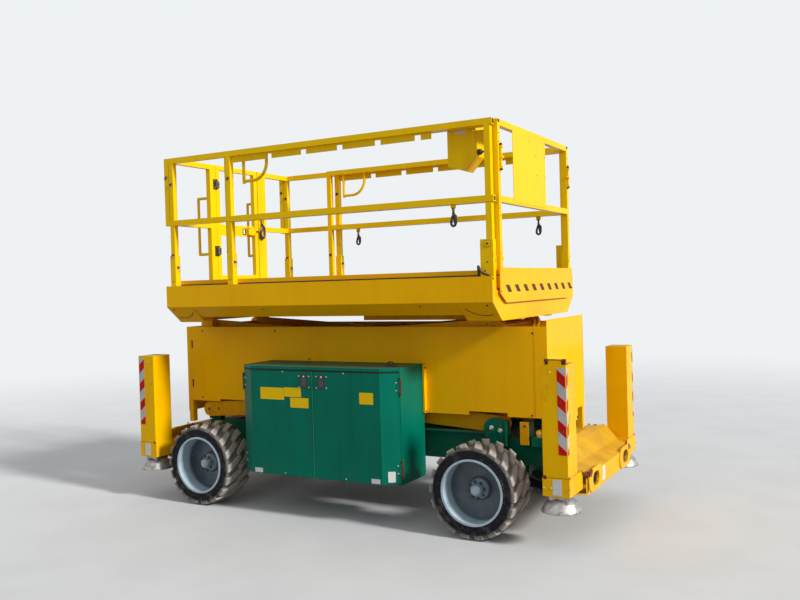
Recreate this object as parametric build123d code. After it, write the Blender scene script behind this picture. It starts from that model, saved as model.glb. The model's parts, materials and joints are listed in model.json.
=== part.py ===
"""Rough-terrain scissor lift: wheeled chassis with four outriggers, a four-level scissor
stack and a railed platform with a sliding deck extension.

Millimetres. +X points to the steered end, +Y to the left side, +Z up.
The origin is on the ground, under the middle of the machine.
Node names say front (+X), rear (-X), right (-Y) and left (+Y).
"""
from build123d import *
import math
import os

# ---------------------------------------------------------------- driving dimensions
overall_length = 3963          # over the outrigger beams
machine_width = 1800           # over the deck skirts
rail_top = 2960                # top of the guard rails above the ground

wheel_radius = 340             # over the lug tips
wheel_width = 305
wheel_outer_y = 896            # outer face of the tyres
front_overhang = 749.5         # from the front beam's face back to the front axle
rear_overhang = 691.5
rim_radius = 228
dish_depth = 175               # from the rim's outer lip back to its disc
spindle_radius = 30
running_gap = 0.05             # radial gap of a turning pin in its bore
seat_gap = 0.3                 # gap between pieces that slide or rest on each other
move_gap = 5                   # least gap between pieces that pass each other

arm_allowance = 1143           # overall length over an arm's length
arm_depth = 130
arm_width = 60
arm_wall = 5
level_rise = 185               # height of one stowed scissor level
levels = 4
pivot_inset = 411.5            # from the rear beam's face to the fixed pivots
pivot_z = 740                  # height of the lowest fixed pivot
outer_arm_y = 385              # middle of the outer arms' beams
inner_arm_y = 315              # middle of the inner arms' beams
pin_radius = 30
open_pin_gap = 1.0             # radial gap at the pivots where the linkage is opened
roller_radius = 55
boss_length = 160              # solid stretch of an arm beam round each pivot
spreader_inset = 500           # from an inner arm's ends to its cross tubes
spreader_radius = 40
cylinder_foot = 200            # from arm 1's roller end to the barrel's pin
cylinder_head = 300            # from arm 2's upper end to the rod's pin
lift_travel_deg = 48

chassis_rail_y = (275, 375)
chassis_z = (460, 640)
beam_depth = 381.5             # from a beam's face back to the chassis' end
chassis_wall = 8

deck_inset = (402.5, 542.5)    # from the rear and front beams' faces to the deck's ends
deck_half_width = machine_width / 2
skirt_z = (1681, 1860)
skirt_wall = 6
gusset_foot = (736, 1545)      # y and z of the lower corner of the deck's end plates
gusset_length = 270
floor_top = 1763
floor_wall = 5
inner_floor_top = 1782
extension_travel = 1350

rail_tube = 45
rail_inset = 80                # from the deck's sides to the middle of the fixed side rails
slide_inset = 55               # from there to the middle of the sliding side rails
mid_rail_drop = 535            # from the top rail down to the mid rail

cabinet_gap = (471, 585)       # from the rear and front axles to the cabinets' ends
cabinet_front_y = 902
cabinet_inner_y = 445
cabinet_z = (327, 1200)
chamfer = (130, 74)            # x and y size of the cabinets' corner chamfers
door_wall = 20
sheet = 4

column_inset = (212.5, 39.5)   # from a beam's face back to its columns' far and near faces
column_y = (696, 896)
column_z = (412, 1257)
column_wall = 6
leg_travel = 255
pad_radius = 135
pad_z = (257, 352)

guard_y = 438
guard_inset = (186.5, 323.5)   # from the rear and front beams' faces to the guard's ends
guard_z = (816, 1487)
guard_front_top = 1536
guard_wall = 3

end_x = overall_length / 2
front_axle_x = end_x - front_overhang
rear_axle_x = rear_overhang - end_x
wheel_mid_y = wheel_outer_y - wheel_width / 2
arm_length = overall_length - arm_allowance
pivot_x = pivot_inset - end_x
stow_angle = math.degrees(math.asin(level_rise / arm_length))
stow_reach = arm_length * math.cos(math.radians(stow_angle))
raised_reach = arm_length * math.cos(math.radians(stow_angle + lift_travel_deg))
chassis_x = (beam_depth - end_x, end_x - beam_depth)
column_x = (end_x - column_inset[0], end_x - column_inset[1])
guard_x = (guard_inset[0] - end_x, end_x - guard_inset[1])
deck_x = (deck_inset[0] - end_x, end_x - deck_inset[1])
cabinet_x = (rear_axle_x + cabinet_gap[0], front_axle_x - cabinet_gap[1])
mid_rail_top = rail_top - mid_rail_drop
rail_y = deck_half_width - rail_inset
inner_rail_y = rail_y - slide_inset


# ---------------------------------------------------------------- shared helpers
def block(x, y, z):
    """Box between two corners, each side given as (low, high)."""
    middle = Pos((x[0] + x[1]) / 2, (y[0] + y[1]) / 2, (z[0] + z[1]) / 2)
    return middle * Box(x[1] - x[0], y[1] - y[0], z[1] - z[0])


def rod_y(x, z, radius, y):
    """Cylinder along Y between the two ends y."""
    turn = Pos(x, (y[0] + y[1]) / 2, z) * Rot(90, 0, 0)
    return turn * Cylinder(radius, abs(y[1] - y[0]))


def rod_z(x, y, radius, z):
    return Pos(x, y, (z[0] + z[1]) / 2) * Cylinder(radius, z[1] - z[0])


def rod_x(y, z, radius, x):
    turn = Pos((x[0] + x[1]) / 2, y, z) * Rot(0, 90, 0)
    return turn * Cylinder(radius, x[1] - x[0])


def plate_xy(points, z):
    """Flat plate from a plan outline."""
    return Pos(0, 0, z[0]) * extrude(make_face(Polyline(*points, close=True)), z[1] - z[0])


def plate_yz(points, x):
    """Flat plate across the machine from an outline of (y, z) points."""
    outline = Plane.YZ * make_face(Polyline(*points, close=True))
    return Pos(x[0], 0, 0) * extrude(outline, x[1] - x[0], dir=(1, 0, 0))


def plate_xz(points, y):
    """Flat plate along the machine from an outline of (x, z) points."""
    outline = make_face(Polyline(*[(px, 0, pz) for px, pz in points], close=True))
    return Pos(0, y[0], 0) * extrude(outline, y[1] - y[0], dir=(0, 1, 0))


def side_of(shape, side):
    """A shape drawn for the left side, moved to the side asked for (1 left, -1 right)."""
    return shape if side > 0 else mirror(shape, about=Plane.XZ)


def both_sides(shape):
    return [shape, mirror(shape, about=Plane.XZ)]


def tube(x, y, z, wall, along):
    """Rectangular tube, open along the named axis."""
    spans = [list(x), list(y), list(z)]
    for axis in range(3):
        if axis == along:
            spans[axis] = [spans[axis][0] - 1, spans[axis][1] + 1]
        else:
            spans[axis] = [spans[axis][0] + wall, spans[axis][1] - wall]
    return block(x, y, z) - block(*spans)


def joined(*shapes):
    """One fused shape from shapes and lists of shapes."""
    flat = []
    for shape in shapes:
        flat.extend(shape if isinstance(shape, list) else [shape])
    return flat[0] + flat[1:]


def around(middle, width):
    return (middle - width / 2, middle + width / 2)


SIDES = {"right": -1, "left": 1}
nodes = {}


# ---------------------------------------------------------------- wheels
lug_count = 18
lug_depth = 27
lug_width = 52
lug_skew = 24
cap_radius = 38.5
cap_depth = 70                 # from the tyre's outer face back to the hub cap
tyre_seat = rim_radius + seat_gap


def lathe(points):
    """Solid of revolution about Z from (radius, height) points."""
    outline = make_face(Polyline(*[(r, 0, h) for r, h in points], close=True))
    return revolve(outline, Axis.Z)


def make_tyre():
    crown = wheel_radius - lug_depth
    bead = 14
    profile = [
        (tyre_seat, bead), (tyre_seat + 14, bead), (tyre_seat + 22, 4), (crown - 14, 0),
        (crown, 16), (crown, wheel_width - 16), (crown - 14, wheel_width),
        (tyre_seat + 22, wheel_width - 4), (tyre_seat + 14, wheel_width - bead),
        (tyre_seat, wheel_width - bead),
    ]
    carcass = lathe(profile)
    lug_length = wheel_width * 0.56
    lugs = []
    for row, middle_h in ((0, lug_length / 2 + 3), (1, wheel_width - lug_length / 2 - 3)):
        skew = lug_skew if row else -lug_skew
        bar = Pos(crown, 0, middle_h) * Rot(skew, 0, 0) * Box(2 * lug_depth + 10, lug_width, lug_length)
        for step in range(lug_count):
            turn = (step + row / 2) * 360 / lug_count
            lugs.append(Rot(0, 0, turn) * bar)
    inner_cut = crown - 6
    ring = lathe([(inner_cut, 1), (wheel_radius - 9, 1), (wheel_radius, 12),
                  (wheel_radius, wheel_width - 12), (wheel_radius - 9, wheel_width - 1),
                  (inner_cut, wheel_width - 1)])
    tread = (lugs[0] + lugs[1:]) & ring
    return carcass + tread


def make_rim():
    wall = 6
    inside = rim_radius - wall
    lip = rim_radius + 10
    disc = wheel_width - dish_depth
    cap_top = wheel_width - cap_depth
    barrel = lathe([
        (inside, 2), (lip, 2), (lip, 10), (rim_radius, 12), (rim_radius, wheel_width - 12),
        (lip, wheel_width - 10), (lip, wheel_width - 2), (inside, wheel_width - 2),
    ])
    dish = lathe([
        (spindle_radius + running_gap, disc - 12), (82, disc - 12), (inside + 1, disc - 2),
        (inside + 1, disc + 8), (88, disc), (72, disc + 26), (44, disc + 30), (cap_radius, disc + 44),
        (cap_radius, cap_top - 8), (cap_radius - 8, cap_top), (0, cap_top), (0, disc + 32),
        (spindle_radius + running_gap, disc + 32),
    ])
    return barrel + dish


def wheel_place(x, side):
    """The wheel is drawn along +Z with its inner face at 0 and its outer face upwards."""
    inner_face = wheel_outer_y - wheel_width
    return Pos(x, side * inner_face, wheel_radius) * Rot(-side * 90, 0, 0)


tyre = make_tyre()
rim = make_rim()
AXLES = {"front": front_axle_x, "rear": rear_axle_x}
for end, axle_x in AXLES.items():
    for side_name, side in SIDES.items():
        nodes[f"tyre_{end}_{side_name}"] = wheel_place(axle_x, side) * tyre
        nodes[f"rim_{end}_{side_name}"] = wheel_place(axle_x, side) * rim

# ---------------------------------------------------------------- axles and knuckles
hub_radius = 70
hub_face_y = wheel_outer_y - dish_depth - 12 - move_gap
spindle_end_y = wheel_outer_y - dish_depth + 30
kingpin_y = 520
kingpin_radius = 20
axle_half_width = 60
axle_z = around(wheel_radius, 120)
ear_height = 30
knuckle_z = around(wheel_radius, 150)
knuckle_block_y = (486, 560)
fork_web_y = (424, 462)


def axle_hub(x, inner_y):
    return joined(
        rod_y(x, wheel_radius, hub_radius, (inner_y, hub_face_y)),
        rod_y(x, wheel_radius, spindle_radius, (hub_face_y, spindle_end_y)),
    )


def make_rear_axle():
    x = rear_axle_x
    beam = tube(around(x, 2 * axle_half_width), (-470, 470), axle_z, 10, 1)
    hangers = [block(around(x, 150), chassis_rail_y, (axle_z[1], chassis_z[0]))]
    parts = [beam]
    for side in SIDES.values():
        parts.append(side_of(axle_hub(x, 470), side))
        parts.append(side_of(hangers[0], side))
    return joined(parts)


def make_front_axle():
    x = front_axle_x
    fork_x = around(x, 90)
    web = block(fork_x, fork_web_y, (knuckle_z[0] - ear_height, knuckle_z[1] + ear_height))
    ears = []
    for low in (knuckle_z[0] - ear_height, knuckle_z[1] + seat_gap):
        ears.append(block(fork_x, (fork_web_y[1], 556), (low, low + ear_height - seat_gap)))
    fork = joined(web, ears) - rod_z(x, kingpin_y, kingpin_radius + running_gap, (0, 2 * wheel_radius))
    beam = tube(around(x, 2 * axle_half_width), (-fork_web_y[0], fork_web_y[0]), axle_z, 10, 1)
    pivot = rod_x(0, wheel_radius, pin_radius, (x - 110, x + 110))
    return joined(beam, pivot, both_sides(fork))


def make_knuckle(side):
    x = front_axle_x
    body = block(around(x, 84), knuckle_block_y, knuckle_z)
    pin_z = (knuckle_z[0] - ear_height, knuckle_z[1] + ear_height)
    kingpin = rod_z(x, kingpin_y, kingpin_radius, pin_z)
    steer_arm = block((x - 150, x - 42), (500, 530), around(wheel_radius - 40, 24))
    return side_of(joined(body, kingpin, axle_hub(x, knuckle_block_y[1]), steer_arm), side)


nodes["rear_axle"] = make_rear_axle()
nodes["front_axle"] = make_front_axle()
for side_name, side in SIDES.items():
    nodes[f"knuckle_{side_name}"] = make_knuckle(side)

# ---------------------------------------------------------------- chassis
roller_x = pivot_x + stow_reach
track_top = pivot_z - roller_radius - seat_gap
track_y = (350, 422)
lug_radius = arm_depth / 2


def eye_plate(x, z, foot_z, radius, y, bore):
    """Lug with a round end about (x, z) that stands or hangs from foot_z."""
    span = (min(z, foot_z), max(z, foot_z))
    plate = joined(block(around(x, 2 * radius), y, span), rod_y(x, z, radius, y))
    return plate - rod_y(x, z, bore, (y[0] - 1, y[1] + 1))


hanger_x = 95                  # from the front axle's middle to its hangers' outer faces
cabinet_mid_x = (cabinet_x[0] + cabinet_x[1]) / 2
cross_z = (480, 620)
shelf_inset = 200              # from the cabinets' ends to the shelves that carry them
track_x = (pivot_x + raised_reach - 155, roller_x + 86)
bracket_wall = 14
bracket_x = (-90, 125)         # bracket beside each front wheel, from the front axle
bracket_z = (chassis_z[1] - 50, 800)


def make_tow_bracket():
    """Bored side bracket with a round nose and an upright end plate, and a stop block ahead of it."""
    rear, front = front_axle_x + bracket_x[0], front_axle_x + bracket_x[1]
    y = (outer_arm_y + arm_width / 2 + 3, outer_arm_y + arm_width / 2 + 3 + bracket_wall)
    nose_radius = (bracket_z[1] - chassis_z[1]) / 2
    nose_z = bracket_z[1] - nose_radius
    outline = [(rear + 30, bracket_z[0]), (front - 40, bracket_z[0]), (front - 40, bracket_z[1] - 6),
               (rear + nose_radius + 10, bracket_z[1]), (rear + 4, nose_z + 20), (rear + 4, nose_z - 30)]
    plate = plate_xz(outline, y) + rod_y(rear + nose_radius, nose_z, nose_radius, y)
    for x, z in ((rear + 62, nose_z + 6), (front - 84, nose_z + 22), (front - 84, nose_z - 12)):
        plate = plate - rod_y(x, z, 12, (y[0] - 1, y[1] + 1))
    foot = block((rear + 40, front - 36), (chassis_rail_y[1] - 1, y[1]), (bracket_z[0] + 25, bracket_z[0] + 40))
    upright = block((front - 50, front - 35), (chassis_rail_y[1] - 25, y[1] + 2), (bracket_z[0], bracket_z[1] - 22))
    stop = block((front + 75, front + 142), (chassis_rail_y[1] - 60, y[1]), (chassis_z[1] - 30, bracket_z[1] - 18))
    return joined(plate, foot, upright, stop)


def make_chassis():
    rail = tube(chassis_x, chassis_rail_y, chassis_z, chassis_wall, 0)
    cross_y = (-chassis_rail_y[0], chassis_rail_y[0])
    crosses = []
    for x in (chassis_x[0] + 80, rear_axle_x + 260, cabinet_mid_x, cabinet_x[1] - 7, chassis_x[1] - 60):
        crosses.append(tube(around(x, 120), cross_y, cross_z, chassis_wall, 1))
    crosses.append(tube(around(front_axle_x, 2 * hanger_x), cross_y, cross_z, chassis_wall, 1))
    lug_y = around(inner_arm_y, arm_width)
    lug = eye_plate(pivot_x, pivot_z, chassis_z[1], lug_radius, lug_y, pin_radius + running_gap)
    track = joined(
        block(track_x, track_y, (track_top - 10, track_top)),
        block(track_x, (track_y[0], chassis_rail_y[1]), (chassis_z[1], track_top - 10)),
    )
    hangers = []
    for x in (front_axle_x - hanger_x, front_axle_x + hanger_x - 15):
        plate = block((x, x + 15), (-70, 70), (wheel_radius - 60, cross_z[0] + chassis_wall + 2))
        hole = rod_x(0, wheel_radius, pin_radius + running_gap, (x - 1, x + 16))
        hangers.append(plate - hole)
    shelf_x = (cabinet_x[0] + shelf_inset, cabinet_x[1] - shelf_inset)
    shelf = block(shelf_x, (chassis_rail_y[1], cabinet_inner_y - seat_gap), cross_z)
    shelf = shelf - block((shelf_x[0] + 10, shelf_x[1] - 10), (0, cabinet_inner_y), (cross_z[0] + 10, cross_z[1] - 10))
    return joined(both_sides(rail), crosses, both_sides(lug), both_sides(track), hangers,
                  both_sides(shelf), both_sides(make_tow_bracket()))


nodes["chassis_frame"] = make_chassis()

# ---------------------------------------------------------------- outriggers
beam_top = 620
beam_bottom = 330
beam_wall = 8
beam_rear_x = chassis_x[1]
nose_z = 462                   # top of the beam's upright front face
slope_x = (beam_rear_x + 160, beam_rear_x + 90)
beam_profile = [
    (beam_rear_x, beam_bottom), (end_x, beam_bottom), (end_x, nose_z), (end_x - 120, nose_z + 43),
    (slope_x[0], beam_top - 20), (slope_x[1], beam_top), (beam_rear_x, beam_top),
]
beam_half = 590
swing_x = beam_rear_x + 128    # keeps the beam clear of a steered tyre
beam_edge = [
    (end_x + 1, beam_half), (column_x[0] - 8, column_y[0]), (swing_x, column_y[0]), (swing_x, 640),
    (beam_rear_x, 400), (beam_rear_x - 1, 400),
]
beam_plan = beam_edge + [(px, -py) for px, py in reversed(beam_edge)]
eye_y = 410
eye_size = (150, 95)
eye_z = 412
eye_plate_size = (340, 166)
eye_plate_wall = 8
foot_z = (372, 500)


def make_beam():
    body = plate_xz(beam_profile, (-column_y[0], column_y[0]))
    face_x = end_x - 12
    inside = plate_xz([(beam_rear_x + beam_wall, beam_bottom + beam_wall), (face_x, beam_bottom + beam_wall),
                       (face_x, nose_z - 6), (face_x - 114, nose_z + 34), (slope_x[0] - 4, beam_top - 30),
                       (slope_x[1] - 2, beam_top - beam_wall), (beam_rear_x + beam_wall, beam_top - beam_wall)],
                      (-column_y[0] - 1, column_y[0] + 1))
    plan = plate_xy(beam_plan, (beam_bottom - 30, beam_top + 80))
    shell = (body - inside) & plan
    for side in SIDES.values():
        place = Plane.YZ * Pos(side * eye_y, eye_z)
        doubler = extrude(place * SlotOverall(*eye_plate_size), eye_plate_wall, dir=(1, 0, 0))
        shell = shell + Pos(end_x, 0, 0) * doubler
        shell = shell - Pos(end_x - 40, 0, 0) * extrude(place * SlotOverall(*eye_size), 80, dir=(1, 0, 0))
    foot = block((column_x[0] - 7, column_x[1] + 8), (column_y[0] - 90, column_y[1]), foot_z)
    foot = foot - block((column_x[0] + column_wall, column_x[1] - column_wall),
                        (column_y[0] + column_wall, column_y[1] - column_wall), (foot_z[0] - 70, foot_z[1] + 70))
    sleeve_space = block(column_x, column_y, (column_z[0], beam_top + 80))
    feet = both_sides(foot - sleeve_space)
    return joined(shell - both_sides(sleeve_space), feet)


def at_end(shape, end):
    """A shape drawn for the front, mirrored to the rear where asked."""
    return shape if end == "front" else mirror(shape, about=Plane.YZ)


def make_column():
    walls = tube(column_x, column_y, column_z, column_wall, 2)
    cap = block(column_x, column_y, (column_z[1] - column_wall, column_z[1]))
    return joined(walls, cap)


def make_leg():
    middle = ((column_x[0] + column_x[1]) / 2, (column_y[0] + column_y[1]) / 2)
    bore_x = (column_x[0] + column_wall + seat_gap, column_x[1] - column_wall - seat_gap)
    bore_y = (column_y[0] + column_wall + seat_gap, column_y[1] - column_wall - seat_gap)
    stem_z = (pad_z[1] - 10, 1150)
    stem = tube(around(middle[0], 120), around(middle[1], 140), stem_z, 8, 2)
    guides = []
    for low in (440, 1090):
        guides.append(block(bore_x, bore_y, (low, low + 60)))
    guides = joined(guides) - block(around(middle[0], 110), around(middle[1], 130), (400, 1200))
    pad = lathe([
        (0, 0), (pad_radius, 0), (pad_radius, 10), (pad_radius * 0.8, 62),
        (pad_radius * 0.52, pad_z[1] - pad_z[0]), (0, pad_z[1] - pad_z[0]),
    ])
    return joined(stem, guides, Pos(middle[0], middle[1], pad_z[0]) * pad)


beam = make_beam()
column = make_column()
leg = make_leg()
nodes["outrigger_beams"] = Compound(children=[at_end(beam, end) for end in AXLES])
nodes["outrigger_columns"] = Compound(
    children=[at_end(side_of(column, side), end) for end in AXLES for side in SIDES.values()])
for end in AXLES:
    for side_name, side in SIDES.items():
        nodes[f"outrigger_leg_{end}_{side_name}"] = at_end(side_of(leg, side), end)

# ---------------------------------------------------------------- scissor arms
outer_y = around(outer_arm_y, arm_width)
inner_y = around(inner_arm_y, arm_width)
half_arm = arm_length / 2
pivots = (-half_arm, 0, half_arm)


def arm_beam(y):
    """Closed box-section beam with round ends, solid round its three pivots."""
    body = block((-half_arm, half_arm), y, (-arm_depth / 2, arm_depth / 2))
    ends = [rod_y(x, 0, arm_depth / 2, y) for x in (-half_arm, half_arm)]
    hollow_length = half_arm - boss_length
    hollows = []
    for middle in (-half_arm / 2, half_arm / 2):
        hollows.append(block(around(middle, hollow_length), (y[0] + arm_wall, y[1] - arm_wall),
                             around(0, arm_depth - 2 * arm_wall)))
    return joined(body, ends) - hollows


def make_outer_arm(rollers):
    """Outer pair of beams: through pins at both ends and stub pins at the centre."""
    parts = both_sides(arm_beam(outer_y))
    for x in (-half_arm, half_arm):
        parts.append(rod_y(x, 0, pin_radius, (-outer_y[0], outer_y[0])))
    parts.extend(both_sides(rod_y(0, 0, pin_radius, (inner_y[0] - 10, outer_y[0]))))
    if rollers:
        parts.extend(both_sides(rod_y(half_arm, 0, roller_radius, inner_y)))
    return joined(parts)


def make_inner_arm(rollers, spreader_x, cylinder_lug):
    """Inner pair of beams, bored at the pivots and joined by cross tubes at spreader_x."""
    parts = both_sides(arm_beam(inner_y))
    for x in spreader_x:
        parts.append(rod_y(x, 0, spreader_radius, (-inner_y[0], inner_y[0])))
    arm = joined(parts)
    right_gap = running_gap if rollers else open_pin_gap
    for x, gap in zip(pivots, (running_gap, running_gap, right_gap)):
        if x == half_arm and rollers:
            continue
        arm = arm - rod_y(x, 0, pin_radius + gap, (-inner_y[1] - 1, inner_y[1] + 1))
    if rollers:
        arm = joined(arm, both_sides(rod_y(half_arm, 0, pin_radius, (inner_y[1], outer_y[0]))),
                     both_sides(rod_y(half_arm, 0, roller_radius, outer_y)))
    if cylinder_lug:
        arm = joined(arm, cylinder_lug)
    return arm


def arm_place(level, outer):
    """Rest place of an arm; level counts from 1 at the bottom."""
    middle_z = pivot_z + (level - 0.5) * level_rise
    turn = -stow_angle if outer else stow_angle
    return Pos(pivot_x + stow_reach / 2, 0, middle_z) * Rot(0, turn, 0)


# cylinder lugs, drawn in the arms' own axes
clevis_y = (40, 56)
foot_x = half_arm - cylinder_foot
head_x = -half_arm + cylinder_head
barrel_radius = 60
rod_radius = 38
eye_radius = 46


def make_foot_lug():
    """Cross tube and clevis that carry the barrel on the lowest inner arm."""
    carrier = rod_y(foot_x + 95, 0, spreader_radius, (-inner_y[0], inner_y[0]))
    cheeks = []
    for cheek in both_sides(block((foot_x, foot_x + 95), clevis_y, (-34, 34))):
        cheeks.append(cheek)
    ends = both_sides(rod_y(foot_x, 0, 34, clevis_y))
    pin = rod_y(foot_x, 0, 22, (-clevis_y[0], clevis_y[0]))
    return joined(carrier, cheeks, ends, pin)


def make_head_lug():
    """Cross plate and open fork on the second inner arm that the rod's eye pushes on."""
    carrier = block((head_x + 60, head_x + 125), (-inner_y[0], inner_y[0]), (40, arm_depth / 2))
    cheek = [(head_x - 32, -20), (head_x - 10, -34), (head_x + 12, -34), (head_x + 40, 0),
             (head_x + 125, 40), (head_x + 125, arm_depth / 2), (head_x + 20, arm_depth / 2), (head_x - 32, 30)]
    return joined(carrier, both_sides(plate_xz(cheek, clevis_y)))


spreaders = (-half_arm + spreader_inset, half_arm - spreader_inset)
# the carriers of the cylinder lugs take the place of one cross tube on levels 1 and 2
LUGS = {1: (spreaders[:1], make_foot_lug), 2: (spreaders[1:], make_head_lug)}
for level in range(1, levels + 1):
    nodes[f"arm_{level}_outer"] = arm_place(level, True) * make_outer_arm(level == levels)
    spreader_x, make_lug = LUGS.get(level, (spreaders, None))
    inner = make_inner_arm(level == 1, spreader_x, make_lug() if make_lug else None)
    nodes[f"arm_{level}_inner"] = arm_place(level, False) * inner

# ---------------------------------------------------------------- lift cylinder
foot_point = (arm_place(1, False) * Pos(foot_x, 0, 0)).position
head_point = (arm_place(2, False) * Pos(head_x, 0, 0)).position
closed_length = (head_point - foot_point).length
cylinder_tilt = math.degrees(math.atan2(head_point.Z - foot_point.Z, foot_point.X - head_point.X))
barrel_length = closed_length - 150
eye_width = 2 * clevis_y[0] - 2


def make_cylinder():
    """Barrel and rod along +X from the foot pin at the origin."""
    bore = rod_radius + running_gap
    barrel = joined(
        rod_y(0, 0, eye_radius, around(0, eye_width)),
        block((0, 100), around(0, 60), around(0, 60)),
        rod_x(0, 0, barrel_radius, (80, barrel_length)),
    )
    barrel = barrel - rod_y(0, 0, 22 + running_gap, around(0, eye_width + 2))
    barrel = barrel - rod_x(0, 0, bore, (110, barrel_length + 1))
    piston_rod = joined(
        rod_x(0, 0, rod_radius, (120, closed_length - 40)),
        rod_y(closed_length, 0, eye_radius, around(0, eye_width)),
    )
    piston_rod = piston_rod - rod_y(closed_length, 0, 22, around(0, eye_width + 2))
    return barrel, piston_rod


barrel, piston_rod = make_cylinder()
cylinder_place = Pos(foot_point.X, 0, foot_point.Z) * Rot(0, 180 + cylinder_tilt, 0)
nodes["lift_cylinder_barrel"] = cylinder_place * barrel
nodes["lift_cylinder_rod"] = cylinder_place * piston_rod

# ---------------------------------------------------------------- stack guard
guard_post = 50
guard_slot = (76, 26)
guard_slot_z = (972, 1328)
stop_bar = (16, 36)            # thickness and depth of the upright bar beside each cabinet


def make_guard():
    wall_y = (guard_y - guard_wall, guard_y)
    panel = block(guard_x, wall_y, guard_z)
    notches = ((guard_x[0] + 374, cabinet_x[0] + 119, 20), (guard_x[1] - 634, guard_x[1] - 318, 27))
    for low, high, rise in notches:
        panel = panel - block((low, high), (wall_y[0] - 1, wall_y[1] + 1), (guard_z[0] - 1, guard_z[0] + rise))
    for z in guard_slot_z:
        slot = Plane.XZ * Pos(guard_x[0] + 55, z) * SlotOverall(*guard_slot, rotation=90)
        panel = panel - Pos(0, wall_y[1] + 1, 0) * extrude(slot, guard_wall + 2, dir=(0, -1, 0))
    posts = []
    for x in ((guard_x[0] + guard_wall, guard_x[0] + guard_post), (guard_x[1] - guard_post, guard_x[1] - guard_wall)):
        posts.append(block(x, (wall_y[0] - guard_post, wall_y[0]), (beam_top, guard_z[1] - 20)))
    front_low = guard_z[0] - 105
    front = block((guard_x[1] - guard_wall, guard_x[1]), (-guard_y, guard_y), (front_low, guard_front_top))
    front = front - block((guard_x[1] - 10, guard_x[1] + 10), (250, guard_y + 1), (front_low - 10, front_low + 89))
    rear = block((guard_x[0], guard_x[0] + guard_wall), (-guard_y, guard_y), (guard_z[0] - 100, guard_z[1]))
    bar_x = cabinet_x[1] + move_gap
    bar = block((bar_x, bar_x + stop_bar[0]), (wall_y[0], wall_y[1] + stop_bar[1]), (guard_z[0], cabinet_z[1] - move_gap))
    return joined(both_sides(panel), both_sides(bar), both_sides(posts[0]), both_sides(posts[1]), front, rear)


nodes["stack_guard"] = make_guard()

# ---------------------------------------------------------------- cabinets and doors
cabinet_half = (cabinet_x[1] - cabinet_x[0]) / 2
chamfer_y = cabinet_front_y - chamfer[1]
lid_height = 24
door_gap = 4
hinge_radius = 7
hinge_pin = 3.5
hinge_height = 90
hinge_end = 24                 # height of the fixed knuckles above and below the door's
hinge_x = cabinet_x[1] + hinge_radius - 1
hinge_y = chamfer_y + 2
hinge_inset = 110              # from the door's lower and upper edge to its hinges
door_z = (cabinet_z[0] + 8, cabinet_z[1] - lid_height - 3)
hinge_z = (door_z[0] + hinge_inset, door_z[1] - hinge_inset)


def cabinet_plan(inset, inner):
    """Plan outline of a left cabinet, moved inwards by inset."""
    half = cabinet_half - inset
    front = cabinet_front_y - inset
    corner = chamfer_y - inset * 0.5
    half_front = cabinet_half - chamfer[0] - inset * 0.5
    return [(cabinet_mid_x + x, y) for x, y in (
        (-half, inner), (-half, corner), (-half_front, front), (half_front, front), (half, corner), (half, inner))]


def make_cabinet():
    floor_z = (cabinet_z[0], cabinet_z[0] + sheet)
    floor = plate_xy(cabinet_plan(door_wall + door_gap, cabinet_inner_y), floor_z)
    lid_z = (cabinet_z[1] - lid_height, cabinet_z[1])
    lid = plate_xy(cabinet_plan(0, cabinet_inner_y), lid_z)
    lid = lid - plate_xy(cabinet_plan(sheet, cabinet_inner_y + sheet), (lid_z[0] - 1, lid_z[1] - sheet))
    back = block(cabinet_x, (cabinet_inner_y, cabinet_inner_y + sheet), (cabinet_z[0], cabinet_z[1]))
    ends = []
    for x in ((cabinet_x[0], cabinet_x[0] + door_wall), (cabinet_x[1] - door_wall, cabinet_x[1])):
        ends.append(block(x, (cabinet_inner_y, chamfer_y - 2), (cabinet_z[0], cabinet_z[1])))
    hinges = []
    for middle in hinge_z:
        reach = hinge_height / 2 + seat_gap
        hinges.append(rod_z(hinge_x, hinge_y, hinge_pin, around(middle, 2 * reach + hinge_end)))
        for low in (middle - reach - hinge_end, middle + reach):
            hinges.append(rod_z(hinge_x, hinge_y, hinge_radius, (low, low + hinge_end)))
            hinges.append(block((cabinet_x[1] - 1, hinge_x), (hinge_y - 30, hinge_y), (low, low + hinge_end)))
    hinges = joined(hinges)
    return joined(floor, lid, back, ends, hinges, mirror(hinges, about=Plane.YZ.offset(cabinet_mid_x)))


def make_door():
    """Front half and chamfer of a left cabinet, hinged at its front (+X) end corner."""
    low, high = door_z
    outside = plate_xy(cabinet_plan(0, cabinet_inner_y), door_z)
    inside = plate_xy(cabinet_plan(door_wall, cabinet_inner_y - 1), (low - 1, high + 1))
    half = block((cabinet_mid_x + door_gap / 2, cabinet_x[1] + 10), (chamfer_y + 1, 1000), (low - 1, high + 1))
    panel = (outside - inside) & half
    hinges = []
    for middle in hinge_z:
        tall = around(middle, hinge_height)
        hinges.append(rod_z(hinge_x, hinge_y, hinge_radius, tall))
        leaf = [(hinge_x, hinge_y), (hinge_x - 1, hinge_y + 5), (cabinet_x[1] - 20, chamfer_y + 14),
                (cabinet_x[1] - 20, chamfer_y + 8)]
        hinges.append(plate_xy(leaf, tall))
    bores = [rod_z(hinge_x, hinge_y, hinge_pin + running_gap, around(middle, hinge_height + 2)) for middle in hinge_z]
    return joined(panel, hinges) - bores


cabinet = make_cabinet()
for side_name, side in SIDES.items():
    nodes[f"cabinet_{side_name}"] = side_of(cabinet, side)
door = make_door()
door_rear = mirror(door, about=Plane.YZ.offset(cabinet_mid_x))
for side_name, side in SIDES.items():
    nodes[f"door_front_{side_name}"] = side_of(door, side)
    nodes[f"door_rear_{side_name}"] = side_of(door_rear, side)

# ---------------------------------------------------------------- power unit
service_z = cabinet_z[0] + sheet + seat_gap
nodes["engine_block"] = block((-440, 80), (-790, -490), (service_z, 770))
nodes["hydraulic_tank"] = block((-500, 120), (490, 780), (service_z, 860))

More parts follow.
